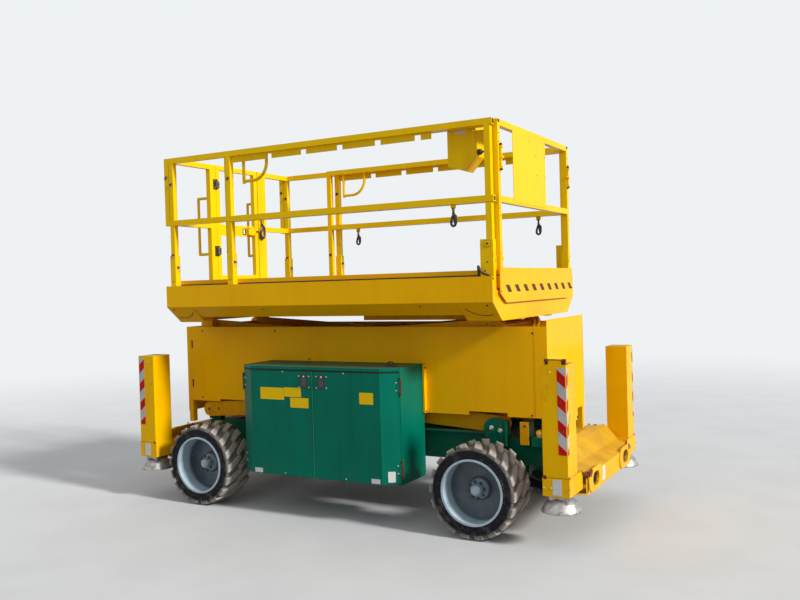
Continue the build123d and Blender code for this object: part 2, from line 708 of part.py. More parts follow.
# ---------------------------------------------------------------- platform deck
lug_z = pivot_z + levels * level_rise
frame_z = (1600, floor_top - floor_wall - seat_gap)
valance_reach = 140            # from the skirt in to the valance's inner edge
valance_depth = 12
cross_end_y = deck_half_width - valance_reach - 1
front_end_drop = 25            # from the skirt's top down to the front end plate's
front_end_top = skirt_z[1] - front_end_drop
notch_inset = 70               # from the deck's sides to the cut-out in its front end plate
both_hangers = [around(side * outer_arm_y, arm_width + 2 * move_gap) for side in SIDES.values()]


def deck_end(x, top, notch):
    """Six-sided end plate of the fixed deck."""
    half = deck_half_width
    points = [(-gusset_foot[0], gusset_foot[1]), (-half, skirt_z[0]), (-half, top), (half, top),
              (half, skirt_z[0]), (gusset_foot[0], gusset_foot[1])]
    plate = plate_yz(points, x)
    if notch:
        notch_y = deck_half_width - notch_inset
        plate = plate - block((x[0] - 1, x[1] + 1), (-notch_y, notch_y), (floor_top, top + 1))
    return plate


cable_radius = 8
cable_slot = (50, 30)          # cut-out in the deck's edge that the corner cable goes down through
cable_slot_place = (-30, 27)   # from the deck's front end and from its side to the cut-out


def make_main_deck():
    half = deck_half_width
    skirt = joined(
        block(deck_x, (half - skirt_wall, half), skirt_z),
        block(deck_x, (half - 46, half - skirt_wall), (skirt_z[1] - skirt_wall, skirt_z[1])),
    )
    floor = block((deck_x[0] + 6, deck_x[1] - 6), (-half + 6, half - 6), (floor_top - floor_wall, floor_top))
    edge_y = half - valance_reach
    valance = plate_yz([(half, skirt_z[0]), (half, skirt_z[0] + 8), (edge_y, frame_z[0]),
                        (edge_y, frame_z[0] - valance_depth)], deck_x)
    gussets = []
    for x in ((deck_x[0], deck_x[0] + gusset_length), (deck_x[1] - gusset_length, deck_x[1])):
        gussets.append(plate_yz([(half, skirt_z[0]), (half - 9, skirt_z[0] + 9), (gusset_foot[0] - 10, gusset_foot[1] + 8),
                                 (gusset_foot[0], gusset_foot[1])], x))
    rear_end = deck_end((deck_x[0], deck_x[0] + 6), skirt_z[1], False)
    for y in both_hangers:
        rear_end = rear_end - block((deck_x[0] - 1, deck_x[0] + 7), y, (gusset_foot[1] - 1, frame_z[0] + move_gap))
    front_end = deck_end((deck_x[1] - 6, deck_x[1]), front_end_top, True)
    slot = Pos(deck_x[1] + cable_slot_place[0], cable_slot_place[1] - half, skirt_z[1] - 2 * skirt_wall)
    slot = slot * extrude(SlotOverall(*cable_slot), 3 * skirt_wall)
    deck = joined(both_sides(skirt), floor, both_sides(valance), both_sides(gussets[0]), both_sides(gussets[1]),
                  rear_end, front_end)
    return deck - slot


def make_deck_frame():
    """Cross members and stringers under the floor, with the rails of the upper scissor's rollers."""
    crosses = []
    pitch = (deck_x[1] - deck_x[0] - 108) / 5
    for step in range(6):
        x = deck_x[0] + 49 + step * pitch
        crosses.append(tube(around(x, 80), (-cross_end_y, cross_end_y), frame_z, 5, 1))
    stringer = block((deck_x[0] + 6, deck_x[1] - 6), outer_y, (frame_z[0], frame_z[0] + 60))
    roller_rail = block((pivot_x + raised_reach - 115, deck_x[1] - 6), (inner_y[0] - 5, inner_y[1] + 5),
                        (lug_z + roller_radius + seat_gap, frame_z[0]))
    return joined(crosses, both_sides(stringer), both_sides(roller_rail))


def make_deck_hangers():
    """Two eyes under the stringers and the through pin of the upper scissor's fixed pivot."""
    hanger = eye_plate(pivot_x, lug_z, frame_z[0], lug_radius, outer_y, pin_radius - 1)
    pin = rod_y(pivot_x, lug_z, pin_radius, (-outer_y[1], outer_y[1]))
    return joined(both_sides(hanger), pin)


def make_corner_cable():
    """Cable that rises behind the front right sleeve, goes round its foot and down through the deck's edge."""
    low = floor_top + seat_gap
    edge = skirt_z[1]
    points = (                 # x from the deck's front end, y from its side, z
        (-133, 90, low), (-137, 88, edge + 10), (-133, 66, edge + 70), (-114, 36, edge + 66),
        (-93, 29, edge + 30), (-55, 31, edge + 12), (-29, 28, edge - 8), (-19, 27, edge - 45), (-19, 27, low),
    )
    route = Spline([(deck_x[1] + x, y - deck_half_width, z) for x, y, z in points],
                   tangents=((0, 0, 1), (0, 0, -1)))
    return sweep(Plane(route @ 0, z_dir=route % 0) * Circle(cable_radius), path=route)


nodes["main_deck"] = make_main_deck()
nodes["deck_frame"] = make_deck_frame()
nodes["deck_hangers"] = make_deck_hangers()
nodes["corner_cable"] = make_corner_cable()

# ---------------------------------------------------------------- fixed rails and gate
half_tube = rail_tube / 2
post_x = (deck_x[0] + 36, deck_x[0] + 665, deck_x[1] - 39)
rail_span_x = (deck_x[0] - 39, deck_x[1])
latch_plate_length = 1874
latch_start = 414              # from the middle post to the first slot
latch_pitch = 337.5
latch_slot = (52, 40)
sleeve_size = 58
sleeve_top = 2120
top_z = (rail_top - rail_tube, rail_top)
mid_z = (mid_rail_top - rail_tube, mid_rail_top)
rear_rail_x = post_x[0]


def make_side_rail():
    y = around(rail_y, rail_tube)
    parts = [block(rail_span_x, y, top_z), block(rail_span_x, y, mid_z)]
    for x in post_x:
        parts.append(block(around(x, rail_tube), y, (floor_top, rail_top)))
        parts.append(block(around(x, sleeve_size), around(rail_y, sleeve_size), (floor_top, sleeve_top)))
    front_sleeve = (post_x[2] - 68, post_x[2])
    parts.append(block(front_sleeve, around(rail_y, sleeve_size), (floor_top, sleeve_top)))
    parts.append(block((rail_span_x[0], rail_span_x[0] + rail_tube), y, (mid_z[0], rail_top)))
    plate = block((post_x[1], post_x[1] + latch_plate_length), (rail_y - 3, rail_y + 3),
                  (top_z[0] - latch_slot[1] - 12, top_z[0]))
    for step in range(5):
        x = post_x[1] + latch_start + step * latch_pitch
        slot_z = (top_z[0] - latch_slot[1] - 13, top_z[0] - 12)
        plate = plate - block(around(x, latch_slot[0]), (rail_y - 4, rail_y + 4), slot_z)
    return joined(parts, plate)


gate_y = (-287, 308)
gate_gap = 6                   # from the gate's stiles to the posts beside them
gate_hinge_radius = 9
gate_pin = 5
gate_hinge = (rear_rail_x + half_tube + gate_hinge_radius, gate_y[0] - gate_gap / 2)
gate_bottom = inner_floor_top + 130
gate_hinge_z = (gate_bottom + 263, rail_top - 176)
gate_post = 84
latch_post = 121
grab_x = -156                  # from the rear rail back to its grab bars
grab_z = (mid_rail_top - 278, rail_top - 301)
grab_radius = 12.5
gate_hinge_height = 60
gate_hinge_end = 16


def gate_leaf(side, z):
    """Hinge leaf from the hinge axis to the gate's stile (1) or to the post (-1)."""
    y = sorted((gate_hinge[1], gate_hinge[1] + side * 30))
    return block((rear_rail_x + 20, gate_hinge[0] - 2), y, z)


def make_rear_rail():
    x = around(rear_rail_x, rail_tube)
    inner = rail_y - half_tube
    posts = []
    hinge_post = (gate_y[0] - gate_post, gate_y[0] - gate_gap)
    strike_post = (gate_y[1] + gate_gap, gate_y[1] + 6 + latch_post)
    for span in (hinge_post, strike_post):
        posts.append(block(x, span, (floor_top, rail_top)))
        bar_y = (span[0] + span[1]) / 2
        bar_x = rear_rail_x + grab_x
        posts.append(rod_z(bar_x, bar_y, grab_radius, grab_z))
        for z in grab_z:
            posts.append(rod_x(bar_y, z, grab_radius, (bar_x, rear_rail_x)))
            posts.append(Pos(bar_x, bar_y, z) * Sphere(grab_radius))
    for middle in gate_hinge_z:
        reach = gate_hinge_height / 2 + seat_gap
        posts.append(rod_z(*gate_hinge, gate_pin, around(middle, 2 * reach + gate_hinge_end)))
        for low in (middle - reach - gate_hinge_end, middle + reach):
            posts.append(rod_z(*gate_hinge, gate_hinge_radius, (low, low + gate_hinge_end)))
            posts.append(gate_leaf(-1, (low, low + gate_hinge_end)))
    spans = ((-inner, hinge_post[0]), (strike_post[1], inner))
    bars = []
    for span in spans:
        bars.append(block(x, span, top_z))
        bars.append(block(x, span, mid_z))
    return joined(posts, bars)


def make_gate():
    x = around(rear_rail_x, 40)
    stiles = [block(x, (gate_y[0], gate_y[0] + 50), (gate_bottom, rail_top)),
              block(x, (gate_y[1] - 50, gate_y[1]), (gate_bottom, rail_top))]
    bars = [block(x, gate_y, (rail_top - 40, rail_top)), block(x, gate_y, (gate_bottom, gate_bottom + 40))]
    plate_z = (mid_rail_top - 104, mid_rail_top - 2)
    plate = block((rear_rail_x - 4, rear_rail_x + 4), (gate_y[0] + 50, gate_y[1] - 50), plate_z)
    knuckles = []
    bores = []
    for middle in gate_hinge_z:
        tall = around(middle, gate_hinge_height)
        knuckles.append(joined(rod_z(*gate_hinge, gate_hinge_radius, tall), gate_leaf(1, tall)))
        bores.append(rod_z(*gate_hinge, gate_pin + running_gap, around(middle, gate_hinge_height + 2)))
    return joined(stiles, bars, plate, knuckles) - bores


side_rail = make_side_rail()
for side_name, side in SIDES.items():
    nodes[f"side_rail_{side_name}"] = side_of(side_rail, side)
nodes["rear_rail"] = make_rear_rail()
nodes["gate"] = make_gate()

# ---------------------------------------------------------------- deck extension
extension_x = (deck_x[0] + 64, deck_x[1] + 18)
toe_y = inner_rail_y + 20
toe_top = 1905
inner_post_x = (extension_x[0] + 541, extension_x[1] - rail_tube / 2)
apron_z = (1672, 1740, 1920)   # bottom, lower corners and top of the front plate
apron_y = (toe_y - 85, toe_y + 26)
handle_x = (167, 404)          # from the sliding rails' rear posts to each push handle's legs
handle_drop = 238
handle_radius = 13
panel_y = (-505, 195)
box_x = 383                    # from the control box's rear face to the sliding rails' front posts
box_size = (220, 150)
box_drop = (240, 340, 300)     # from the rail's top to the box's front, lowest and rear lower edges


def make_extension_deck():
    floor = block(extension_x, (-toe_y, toe_y), (inner_floor_top - floor_wall, inner_floor_top))
    runners = both_sides(block(extension_x, (toe_y - 60, toe_y - 20), (floor_top + seat_gap, inner_floor_top - floor_wall)))
    toes = both_sides(block(extension_x, (toe_y, toe_y + 3), (inner_floor_top - floor_wall, toe_top)))
    edge = [(apron_y[0], apron_z[0]), (apron_y[1], apron_z[1]), (apron_y[1], apron_z[2])]
    apron = plate_yz(edge + [(-y, z) for y, z in reversed(edge)], (extension_x[1], extension_x[1] + 6))
    return joined(floor, runners, toes, apron)


def make_extension_rail():
    y = around(inner_rail_y, rail_tube - 5)
    span = (inner_post_x[0] - half_tube, inner_post_x[1] - half_tube)
    parts = [block(span, y, top_z), block(span, y, mid_z)]
    parts.append(block(around(inner_post_x[0], rail_tube), y, (inner_floor_top, rail_top)))
    rear, front = (inner_post_x[0] + x for x in handle_x)
    low = rail_top - handle_drop - handle_radius
    bend = handle_drop * 0.6
    parts.append(rod_z(rear, inner_rail_y, handle_radius, (low - 20, top_z[0] + 5)))
    parts.append(rod_z(front, inner_rail_y, handle_radius, (low + bend, top_z[0] + 5)))
    parts.append(rod_x(inner_rail_y, low, handle_radius, (rear, front - bend)))
    ring = Pos(front - bend, inner_rail_y, low + bend) * Rot(90, 0, 0) * Torus(bend, handle_radius)
    corner = block((front - bend, front + handle_radius), (inner_rail_y - 20, inner_rail_y + 20),
                   (low - handle_radius, low + bend))
    parts.append(ring & corner)
    return joined(parts)


def make_front_rail():
    x = around(inner_post_x[1], rail_tube)
    outer = inner_rail_y + 20
    posts = both_sides(block(x, (outer - rail_tube, outer), (inner_floor_top, rail_top)))
    bars = [block(x, (-outer, outer), top_z), block(x, (-outer, outer), mid_z)]
    front_x = inner_post_x[1] + half_tube
    panel = block((front_x, front_x + 3), panel_y, (mid_rail_top - 30, rail_top - 30))
    sleeves = both_sides(block(around(inner_post_x[1] - 8, sleeve_size), (outer - 52, outer), (inner_floor_top, sleeve_top - 40)))
    return joined(posts, bars, panel, sleeves)


def make_control_box():
    low_y = -inner_rail_y + 20 + seat_gap
    rear = inner_post_x[1] - box_x
    front = rear + box_size[0]
    outline = [(rear, rail_top), (front, rail_top), (front, rail_top - box_drop[0]),
               (front - 91, rail_top - box_drop[1]), (rear, rail_top - box_drop[2])]
    return plate_xz(outline, (low_y, low_y + box_size[1]))


nodes["extension_deck"] = make_extension_deck()
extension_rail = make_extension_rail()
nodes["extension_rails"] = Compound(children=both_sides(extension_rail))
nodes["extension_front_rail"] = make_front_rail()
nodes["control_box"] = make_control_box()

# ---------------------------------------------------------------- files
os.makedirs("parts", exist_ok=True)
for name, shape in nodes.items():
    export_step(shape, f"parts/{name}.step")
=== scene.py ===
"""Looks of the rough-terrain scissor lift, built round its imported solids.

Metres. +X points to the steered end, +Y to the left side, +Z up, with the ground at 0.
Pieces are named after the node they dress and ride on that node's body.
"""
import json
import math

import bmesh
import bpy
from mathutils import Matrix, Vector


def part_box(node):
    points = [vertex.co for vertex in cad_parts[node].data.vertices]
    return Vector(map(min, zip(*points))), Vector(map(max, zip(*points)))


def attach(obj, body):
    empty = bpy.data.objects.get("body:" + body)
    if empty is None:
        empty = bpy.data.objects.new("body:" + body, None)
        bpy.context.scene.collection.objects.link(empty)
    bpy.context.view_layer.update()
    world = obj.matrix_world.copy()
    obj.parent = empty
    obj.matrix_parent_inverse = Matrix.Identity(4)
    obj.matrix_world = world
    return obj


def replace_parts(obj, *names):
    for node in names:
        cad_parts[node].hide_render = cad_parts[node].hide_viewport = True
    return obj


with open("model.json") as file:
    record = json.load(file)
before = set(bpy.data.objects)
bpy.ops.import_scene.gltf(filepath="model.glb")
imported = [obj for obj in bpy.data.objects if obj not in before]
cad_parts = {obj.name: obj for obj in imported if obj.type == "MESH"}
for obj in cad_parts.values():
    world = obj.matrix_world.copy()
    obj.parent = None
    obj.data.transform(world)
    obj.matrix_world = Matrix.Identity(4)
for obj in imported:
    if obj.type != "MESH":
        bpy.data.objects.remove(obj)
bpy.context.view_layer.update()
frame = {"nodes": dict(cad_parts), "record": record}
nodes = frame["nodes"]
box = {name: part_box(name) for name in nodes}
node_body = {n: body for body, members in frame["record"]["behaviour"]["bodies"].items() for n in members}
scene = bpy.context.scene

X, Y, Z = Vector((1, 0, 0)), Vector((0, 1, 0)), Vector((0, 0, 1))
SIDES = {"right": -1, "left": 1}
BOTH = (-1, 1)
ENDS = {"front": 1, "rear": -1}
CORNERS = [(f"{end}_{side_name}", along, side) for end, along in ENDS.items() for side_name, side in SIDES.items()]


def add(name, data):
    """New object in the scene."""
    thing = bpy.data.objects.new(name, data)
    scene.collection.objects.link(thing)
    return thing


# --- camera
scene.view_settings.view_transform = "Standard"
camera = add("camera", bpy.data.cameras.new("camera"))
scene.camera = camera
camera.data.lens = 38.38
camera.data.sensor_width = 36
camera_place, camera_roll = (3.722, -6.338, 1.821), -0.0282
forward = Vector((-0.48450, 0.87460, -0.01823)).normalized()
level_right = forward.cross(Z).normalized()
level_up = level_right.cross(forward)
right = math.cos(camera_roll) * level_right + math.sin(camera_roll) * level_up
up = -math.sin(camera_roll) * level_right + math.cos(camera_roll) * level_up
turn = Matrix((right, up, -forward)).transposed().to_4x4()
camera.matrix_world = Matrix.Translation(camera_place) @ turn


# --- mesh building
def basis(axis):
    """An axis made one long, and two unit vectors across it."""
    axis = Vector(axis).normalized()
    side = axis.cross(Z if abs(axis.z) < 0.9 else X).normalized()
    return axis, side, axis.cross(side)


def about(middle, half):
    return middle - half, middle + half


def ring(at, u, v, radius, sides, turned=0.0):
    """Points of a circle round at, in the plane of u and v."""
    angles = [turned + 2 * math.pi * k / sides for k in range(sides)]
    return [at + radius * (math.cos(t) * u + math.sin(t) * v) for t in angles]


def smooth_path(points, steps=6):
    """Catmull-Rom points through a bar's bends."""
    pts = [Vector(p) for p in points]
    pts = [2 * pts[0] - pts[1]] + pts + [2 * pts[-1] - pts[-2]]
    path = []
    for a, b, c, d in zip(pts, pts[1:], pts[2:], pts[3:]):
        for t in (s / steps for s in range(steps)):
            path.append(0.5 * (2 * b + (c - a) * t + (2 * a - 5 * b + 4 * c - d) * t ** 2
                               + (3 * b - a - 3 * c + d) * t ** 3))
    return path + [pts[-2]]


class Build:
    """One piece: closed forms are added, then make() turns them into an object on a body."""

    def __init__(self, material):
        self.bm = bmesh.new()
        self.materials = [material]
        self.slot_now = 0

    def use(self, material):
        """Gives what is added next another material."""
        if material not in self.materials:
            self.materials.append(material)
        self.slot_now = self.materials.index(material)
        return self

    def rings(self, rings, closed=False):
        """Skin over rings of points, with end caps unless the rings close on themselves."""
        n, count = len(rings[0]), len(rings)
        verts = [self.bm.verts.new(p) for ring_points in rings for p in ring_points]
        faces = []
        for i in range(count if closed else count - 1):
            a, b = i * n, ((i + 1) % count) * n
            faces += [(a + j, a + (j + 1) % n, b + (j + 1) % n, b + j) for j in range(n)]
        if not closed:
            faces += [range(n - 1, -1, -1), range((count - 1) * n, count * n)]
        for face in faces:
            self.bm.faces.new([verts[i] for i in face]).material_index = self.slot_now
        return self

    def block(self, x, y, z):
        (x0, x1), (y0, y1), (z0, z1) = (sorted(limits) for limits in (x, y, z))
        return self.rings([[(x0, y0, h), (x1, y0, h), (x1, y1, h), (x0, y1, h)] for h in (z0, z1)])

    def prism(self, outline, direction, start, end):
        """Outline of flat points pulled from start to end along direction."""
        return self.rings([[Vector(p) + direction * d for p in outline] for d in (start, end)])

    def dome(self, at, axis, profile, sides=14, turned=0.0):
        """Round form with rings of (radius, height) points, closed by flat ends."""
        axis, u, v = basis(axis)
        return self.rings([ring(Vector(at) + h * axis, u, v, r, sides, turned) for r, h in profile])

    def rod(self, a, b, radius, sides=20):
        along = Vector(b) - Vector(a)
        return self.pin(a, along, 0, along.length, radius, sides)

    def pin(self, at, axis, start, stop, radius, sides=20):
        """Round bar on an axis through at, from start to stop along it."""
        return self.dome(at, axis, [(radius, start), (radius, stop)], sides)

    def screw(self, at, axis, radius):
        """Low round head standing on a surface."""
        profile = ((1, 0), (1, 0.175), (0.72, 0.425), (0.3, 0.5))
        return self.dome(at, axis, [(radius * r, radius * h) for r, h in profile])

    def screws(self, places, axis, radius):
        for at in places:
            self.screw(at, axis, radius)
        return self

    def bolt(self, at, axis, size):
        """Washer and hexagon head; size is the distance across the head's corners."""
        self.dome(at, axis, [(size * r, size * h) for r, h in ((0.62, 0), (0.62, 0.08), (0.56, 0.1))])
        return self.dome(at, axis, [(size * r, size * h) for r, h in ((0.5, 0.1), (0.5, 0.38), (0.42, 0.46))], 6, 0.3)

    def bolts(self, places, axis, size):
        for at in places:
            self.bolt(at, axis, size)
        return self

    def lathe(self, at, axis, profile, sides=32):
        """Closed ring of (radius, height) points turned about an axis through at."""
        axis, u, v = basis(axis)
        spokes = ring(Vector(), u, v, 1, sides)
        return self.rings([[Vector(at) + r * spoke + h * axis for r, h in profile] for spoke in spokes], closed=True)

    def tube(self, path, radius, sides=12):
        """Round bar along points, with the corners of the path kept as mitres."""
        path = [Vector(p) for p in path]
        u, rings = basis(path[1] - path[0])[1], []
        for behind, point, ahead in zip(path[:1] + path, path, path[1:] + path[-1:]):
            heading = (ahead - behind).normalized()
            u = (u - heading * u.dot(heading)).normalized()
            rings.append(ring(point, u, heading.cross(u), radius, sides))
        return self.rings(rings)

    def hose(self, points, radius, sides=12):
        return self.tube(smooth_path(points), radius, sides)

    def loop(self, points, normal, radius, sides=10):
        """Closed round bar along points in a plane."""
        rings = []
        for behind, point, ahead in zip(points[-1:] + points, points, points[1:] + points[:1]):
            rings.append(ring(point, normal, (ahead - behind).normalized().cross(normal), radius, sides))
        return self.rings(rings, closed=True)

    def face(self, at, normal, width, height, thick=0.0008, corner=0.004):
        """Plate with round corners, standing on an upright surface that faces along normal."""
        normal = Vector(normal).normalized()
        u, outline = Z.cross(normal), []
        for k, (su, sv) in enumerate(((1, 1), (-1, 1), (-1, -1), (1, -1))):
            middle = Vector(at) + u * su * (width / 2 - corner) + Z * sv * (height / 2 - corner)
            for t in ((k + step / 4) * math.pi / 2 for step in range(5)):
                outline.append(middle + corner * (math.cos(t) * u + math.sin(t) * Z))
        return self.prism(outline, normal, 0, thick)

    def make(self, name, body="root", slot_name="yellow_paint", bevel=0.0, sharp=40, at=(0, 0, 0)):
        bmesh.ops.recalc_face_normals(self.bm, faces=self.bm.faces)
        mesh = bpy.data.meshes.new(name)
        self.bm.to_mesh(mesh)
        self.bm.free()
        for material in self.materials:
            mesh.materials.append(material)
        mesh.shade_smooth()
        mesh.set_sharp_from_angle(angle=math.radians(sharp))
        piece = add(name, mesh)
        piece.matrix_world = Matrix.Translation(at)
        if bevel:
            rounding = piece.modifiers.new("rounding", "BEVEL")
            rounding.width = bevel
            rounding.segments = 2 if bevel > 0.001 else 1
            rounding.limit_method = "ANGLE"
            rounding.angle_limit = math.radians(sharp)
            rounding.harden_normals = True
        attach(piece, body)
        return piece


# --- materials
def linear(r, g, b):
    """Linear colour from display values 0-255."""
    return tuple((c / 255 / 12.92 if c < 10.3 else ((c / 255 + 0.055) / 1.055) ** 2.4) for c in (r, g, b)) + (1,)


class Graph:
    """Short calls for the nodes of a material or the world; positions are in the piece's own metres."""

    def __init__(self, name, world=None, **fixed):
        self.material = world or bpy.data.materials.new(name)
        self.material.use_nodes = True
        self.nodes = self.material.node_tree.nodes
        self.shader = self.nodes["Background" if world else "Principled BSDF"]
        self.place = None if world else self.node("TexCoord").outputs["Object"]
        for socket, value in fixed.items():
            self.shader.inputs[socket.replace("_", " ")].default_value = value

    def put(self, socket, value):
        if isinstance(value, bpy.types.NodeSocket):
            self.material.node_tree.links.new(value, socket)
        else:
            socket.default_value = value

    def node(self, kind, inputs=(), **settings):
        made = self.nodes.new("ShaderNode" + kind)
        for key, value in settings.items():
            setattr(made, key, value)
        for socket, value in dict(inputs).items():
            self.put(made.inputs[socket], value)
        return made

    def calc(self, operation, a, b=0.0, c=0.0, clamp=False):
        return self.node("Math", {0: a, 1: b, 2: c}, operation=operation, use_clamp=clamp).outputs[0]

    def times(self, a, b):
        return self.calc("MULTIPLY", a, b)

    def most(self, a, b, clamp=False):
        return self.calc("MAXIMUM", a, b, clamp=clamp)

    def off(self, value, middle):
        """How far a value lies from another, whichever way."""
        return self.calc("ABSOLUTE", self.calc("SUBTRACT", value, middle))

    def vector(self, operation, a, b=(0, 0, 0)):
        return self.node("VectorMath", {0: a, 1: b}, operation=operation).outputs

    def axis(self, name, place=None):
        return self.node("SeparateXYZ", {0: place or self.place}).outputs[name]

    def noise(self, scale, detail, rough, place=None):
        inputs = {"Vector": place or self.place, "Scale": scale, "Detail": detail, "Roughness": rough}
        return self.node("TexNoise", inputs).outputs["Fac"]

    def span(self, value, low, high, to_low=0.0, to_high=1.0):
        values = enumerate((value, low, high, to_low, to_high))
        return self.node("MapRange", values, interpolation_type="SMOOTHSTEP").outputs[0]

    def patches(self, scale, detail, rough, low, high, to_low=0.0, to_high=1.0):
        """Noise with a part of its range spread out."""
        return self.span(self.noise(scale, detail, rough), low, high, to_low, to_high)

    def mix(self, factor, a, b):
        return self.node("Mix", {"Factor": factor, 6: a, 7: b}, data_type="RGBA").outputs[2]

    def bump(self, height, distance, strength, normal=None):
        made = self.node("Bump", {"Strength": strength, "Distance": distance, "Height": height})
        if normal is not None:
            self.put(made.inputs["Normal"], normal)
        return made.outputs[0]

    def flat(self):
        return self.node("NewGeometry").outputs["Normal"]

    def edges(self, radius):
        """Rounded normal and a mask that is 1 along convex and concave edges."""
        rounded = self.node("Bevel", {"Radius": radius}, samples=4).outputs[0]
        return rounded, self.span(self.vector("DOT_PRODUCT", rounded, self.flat())["Value"], 0.995, 0.8)

    def seen(self):
        """1 for rays that show a thing itself: straight, in a mirror or through glass."""
        rays = self.node("LightPath").outputs
        return self.most(self.most(rays["Is Camera Ray"], rays["Is Glossy Ray"]), rays["Is Transmission Ray"])

    def done(self, colour, rough, normal):
        for socket, value in (("Base Color", colour), ("Roughness", rough), ("Normal", normal)):
            self.put(self.shader.inputs[socket], value)
        return self.material


def paint(name, colour, faded, rough=0.34, dust=0.35, dust_top=1.0, chips=0.62, chip_colour=(0.05, 0.028, 0.016, 1),
          edge=0.0025, rust=0.0, settle=0.5, settle_from=0.75, rust_spots=()):
    """Sprayed steel: cloudy fading, rain streaks, dust low down and on top, and chips along edges."""
    g = Graph(name, Coat_Weight=0, Coat_Roughness=0.25, Specular_IOR_Level=0.09)
    upright = g.node("Mapping", {"Vector": g.place, "Scale": (14, 14, 0.9)}).outputs[0]
    streak = g.span(g.noise(1, 4, 0.6, upright), 0.42, 0.7)
    tone = g.calc("MULTIPLY_ADD", g.patches(1.7, 5, 0.6, 0.35, 0.68), 0.6, g.times(streak, 0.4))
    rounded, edge_mask = g.edges(edge)
    wear = g.times(edge_mask, g.patches(26, 5, 0.7, chips, chips + 0.08))
    bare = g.most(wear, g.times(g.patches(55, 3, 0.75, 0.745, 0.77), 0.8), clamp=True)
    dirt = g.times(g.span(g.axis("Z"), dust_top, 0.2), g.patches(6, 6, 0.65, 0.36, 0.72))
    up_face = g.span(g.axis("Z", g.flat()), settle_from, settle_from + 0.25)
    settled = g.times(up_face, g.patches(6, 4, 0.5, 0.2, 0.8, settle * 0.55, settle))
    dirty = g.most(g.times(dirt, dust), settled)
    base = g.mix(dirty, g.mix(tone, linear(*colour), linear(*faded)), (0.15, 0.105, 0.045, 1))
    if rust:
        stain = g.times(g.patches(7.5, 7, 0.68, 0.66 - 0.1 * rust, 0.72), 0.55 * rust)
        near_edge = g.times(edge_mask, g.patches(11, 5, 0.7, 0.52 - 0.1 * rust, 0.6))
        bare = g.most(bare, g.most(stain, near_edge), clamp=True)
    base = g.mix(bare, base, chip_colour)
    if rust_spots:
        ruined = 0.0
        corner = g.vector("ABSOLUTE", g.place)[0]  # one spot serves all four corners
        for *spot, radius in rust_spots:
            away = g.vector("DISTANCE", corner, spot)["Value"]
            ragged = g.calc("ADD", away, g.times(g.noise(16, 6, 0.7), radius * 1.3))
            ruined = g.most(ruined, g.span(ragged, radius * 1.45, radius * 1.25), clamp=True)
        base = g.mix(ruined, base, g.mix(g.noise(70, 4, 0.7), linear(140, 62, 14), linear(70, 34, 16)))
    fine = g.calc("MULTIPLY_ADD", g.noise(240, 2, 0.5), 0.1, rough - 0.05)
    rough = g.calc("ADD", fine, g.times(g.most(dirty, bare), 0.4), clamp=True)
    peel = g.bump(g.noise(150, 2, 0.5), 0.0006, 0.12, rounded)
    return g.done(base, rough, g.bump(bare, 0.0005, 0.4, peel))


def metal(name, colour, darker, rough, scale=30.0, metallic=1.0):
    """Worn or bare metal with blotches."""
    g = Graph(name, Metallic=metallic)
    base = g.mix(g.patches(scale, 5, 0.65, 0.35, 0.68), (*colour, 1), (*darker, 1))
    rough = g.patches(scale * 1.7, 4, 0.6, 0.3, 0.7, max(rough - 0.08, 0.04), rough + 0.12)
    return g.done(base, rough, g.bump(g.noise(scale * 9, 3, 0.6), 0.0006, 0.25, g.edges(0.0015)[0]))


def plastic(name, colour, rough=0.5):
    g = Graph(name)
    lighter = [min(c * 1.5 + 0.012, 1) for c in colour[:3]] + [1]
    base = g.mix(g.patches(14, 4, 0.6, 0.3, 0.75), colour, lighter)
    rough = g.patches(35, 3, 0.6, 0.3, 0.7, rough - 0.07, rough + 0.1)
    return g.done(base, rough, g.bump(g.noise(900, 2, 0.5), 0.0003, 0.12))


def sticker(name, colour, aged):
    """Blank label: printed film, a little faded and scuffed."""
    g = Graph(name, Specular_IOR_Level=0.12)
    worn = g.times(g.patches(60, 5, 0.7, 0.58, 0.72), 0.5)
    base = g.mix(worn, g.mix(g.noise(9, 3, 0.5), linear(*colour), linear(*aged)), (0.2, 0.16, 0.1, 1))
    return g.done(base, g.patches(40, 3, 0.6, 0.3, 0.7, 0.3, 0.5), g.bump(g.noise(500, 2, 0.5), 0.0003, 0.1))


def hazard_tape(name, edge_x, edge_y, top_phase):
    """Red and white stripes that meet in a V at the column's corner."""
    g = Graph(name, Specular_IOR_Level=0.12)
    across = g.calc("ADD", g.off(g.axis("X"), edge_x), g.off(g.axis("Y"), edge_y))
    along = g.calc("SUBTRACT", g.calc("SUBTRACT", g.axis("Z"), top_phase), g.times(across, 0.87))
    is_red = g.calc("GREATER_THAN", g.calc("FRACT", g.calc("DIVIDE", along, 0.166)), 0.53)
    white = g.mix(g.noise(7, 3, 0.5), linear(206, 204, 205), linear(178, 176, 180))
    red = g.mix(g.noise(8, 3, 0.5), linear(214, 8, 10), linear(176, 6, 8))
    grime = g.times(g.patches(18, 6, 0.7, 0.45, 0.75), 0.35)
    base = g.mix(grime, g.mix(is_red, white, red), (0.2, 0.13, 0.07, 1))
    cells = g.node("TexVoronoi", {"Vector": g.place, "Scale": 220}).outputs["Distance"]
    return g.done(base, g.patches(40, 3, 0.6, 0.3, 0.7, 0.3, 0.46), g.bump(cells, 0.0004, 0.15))


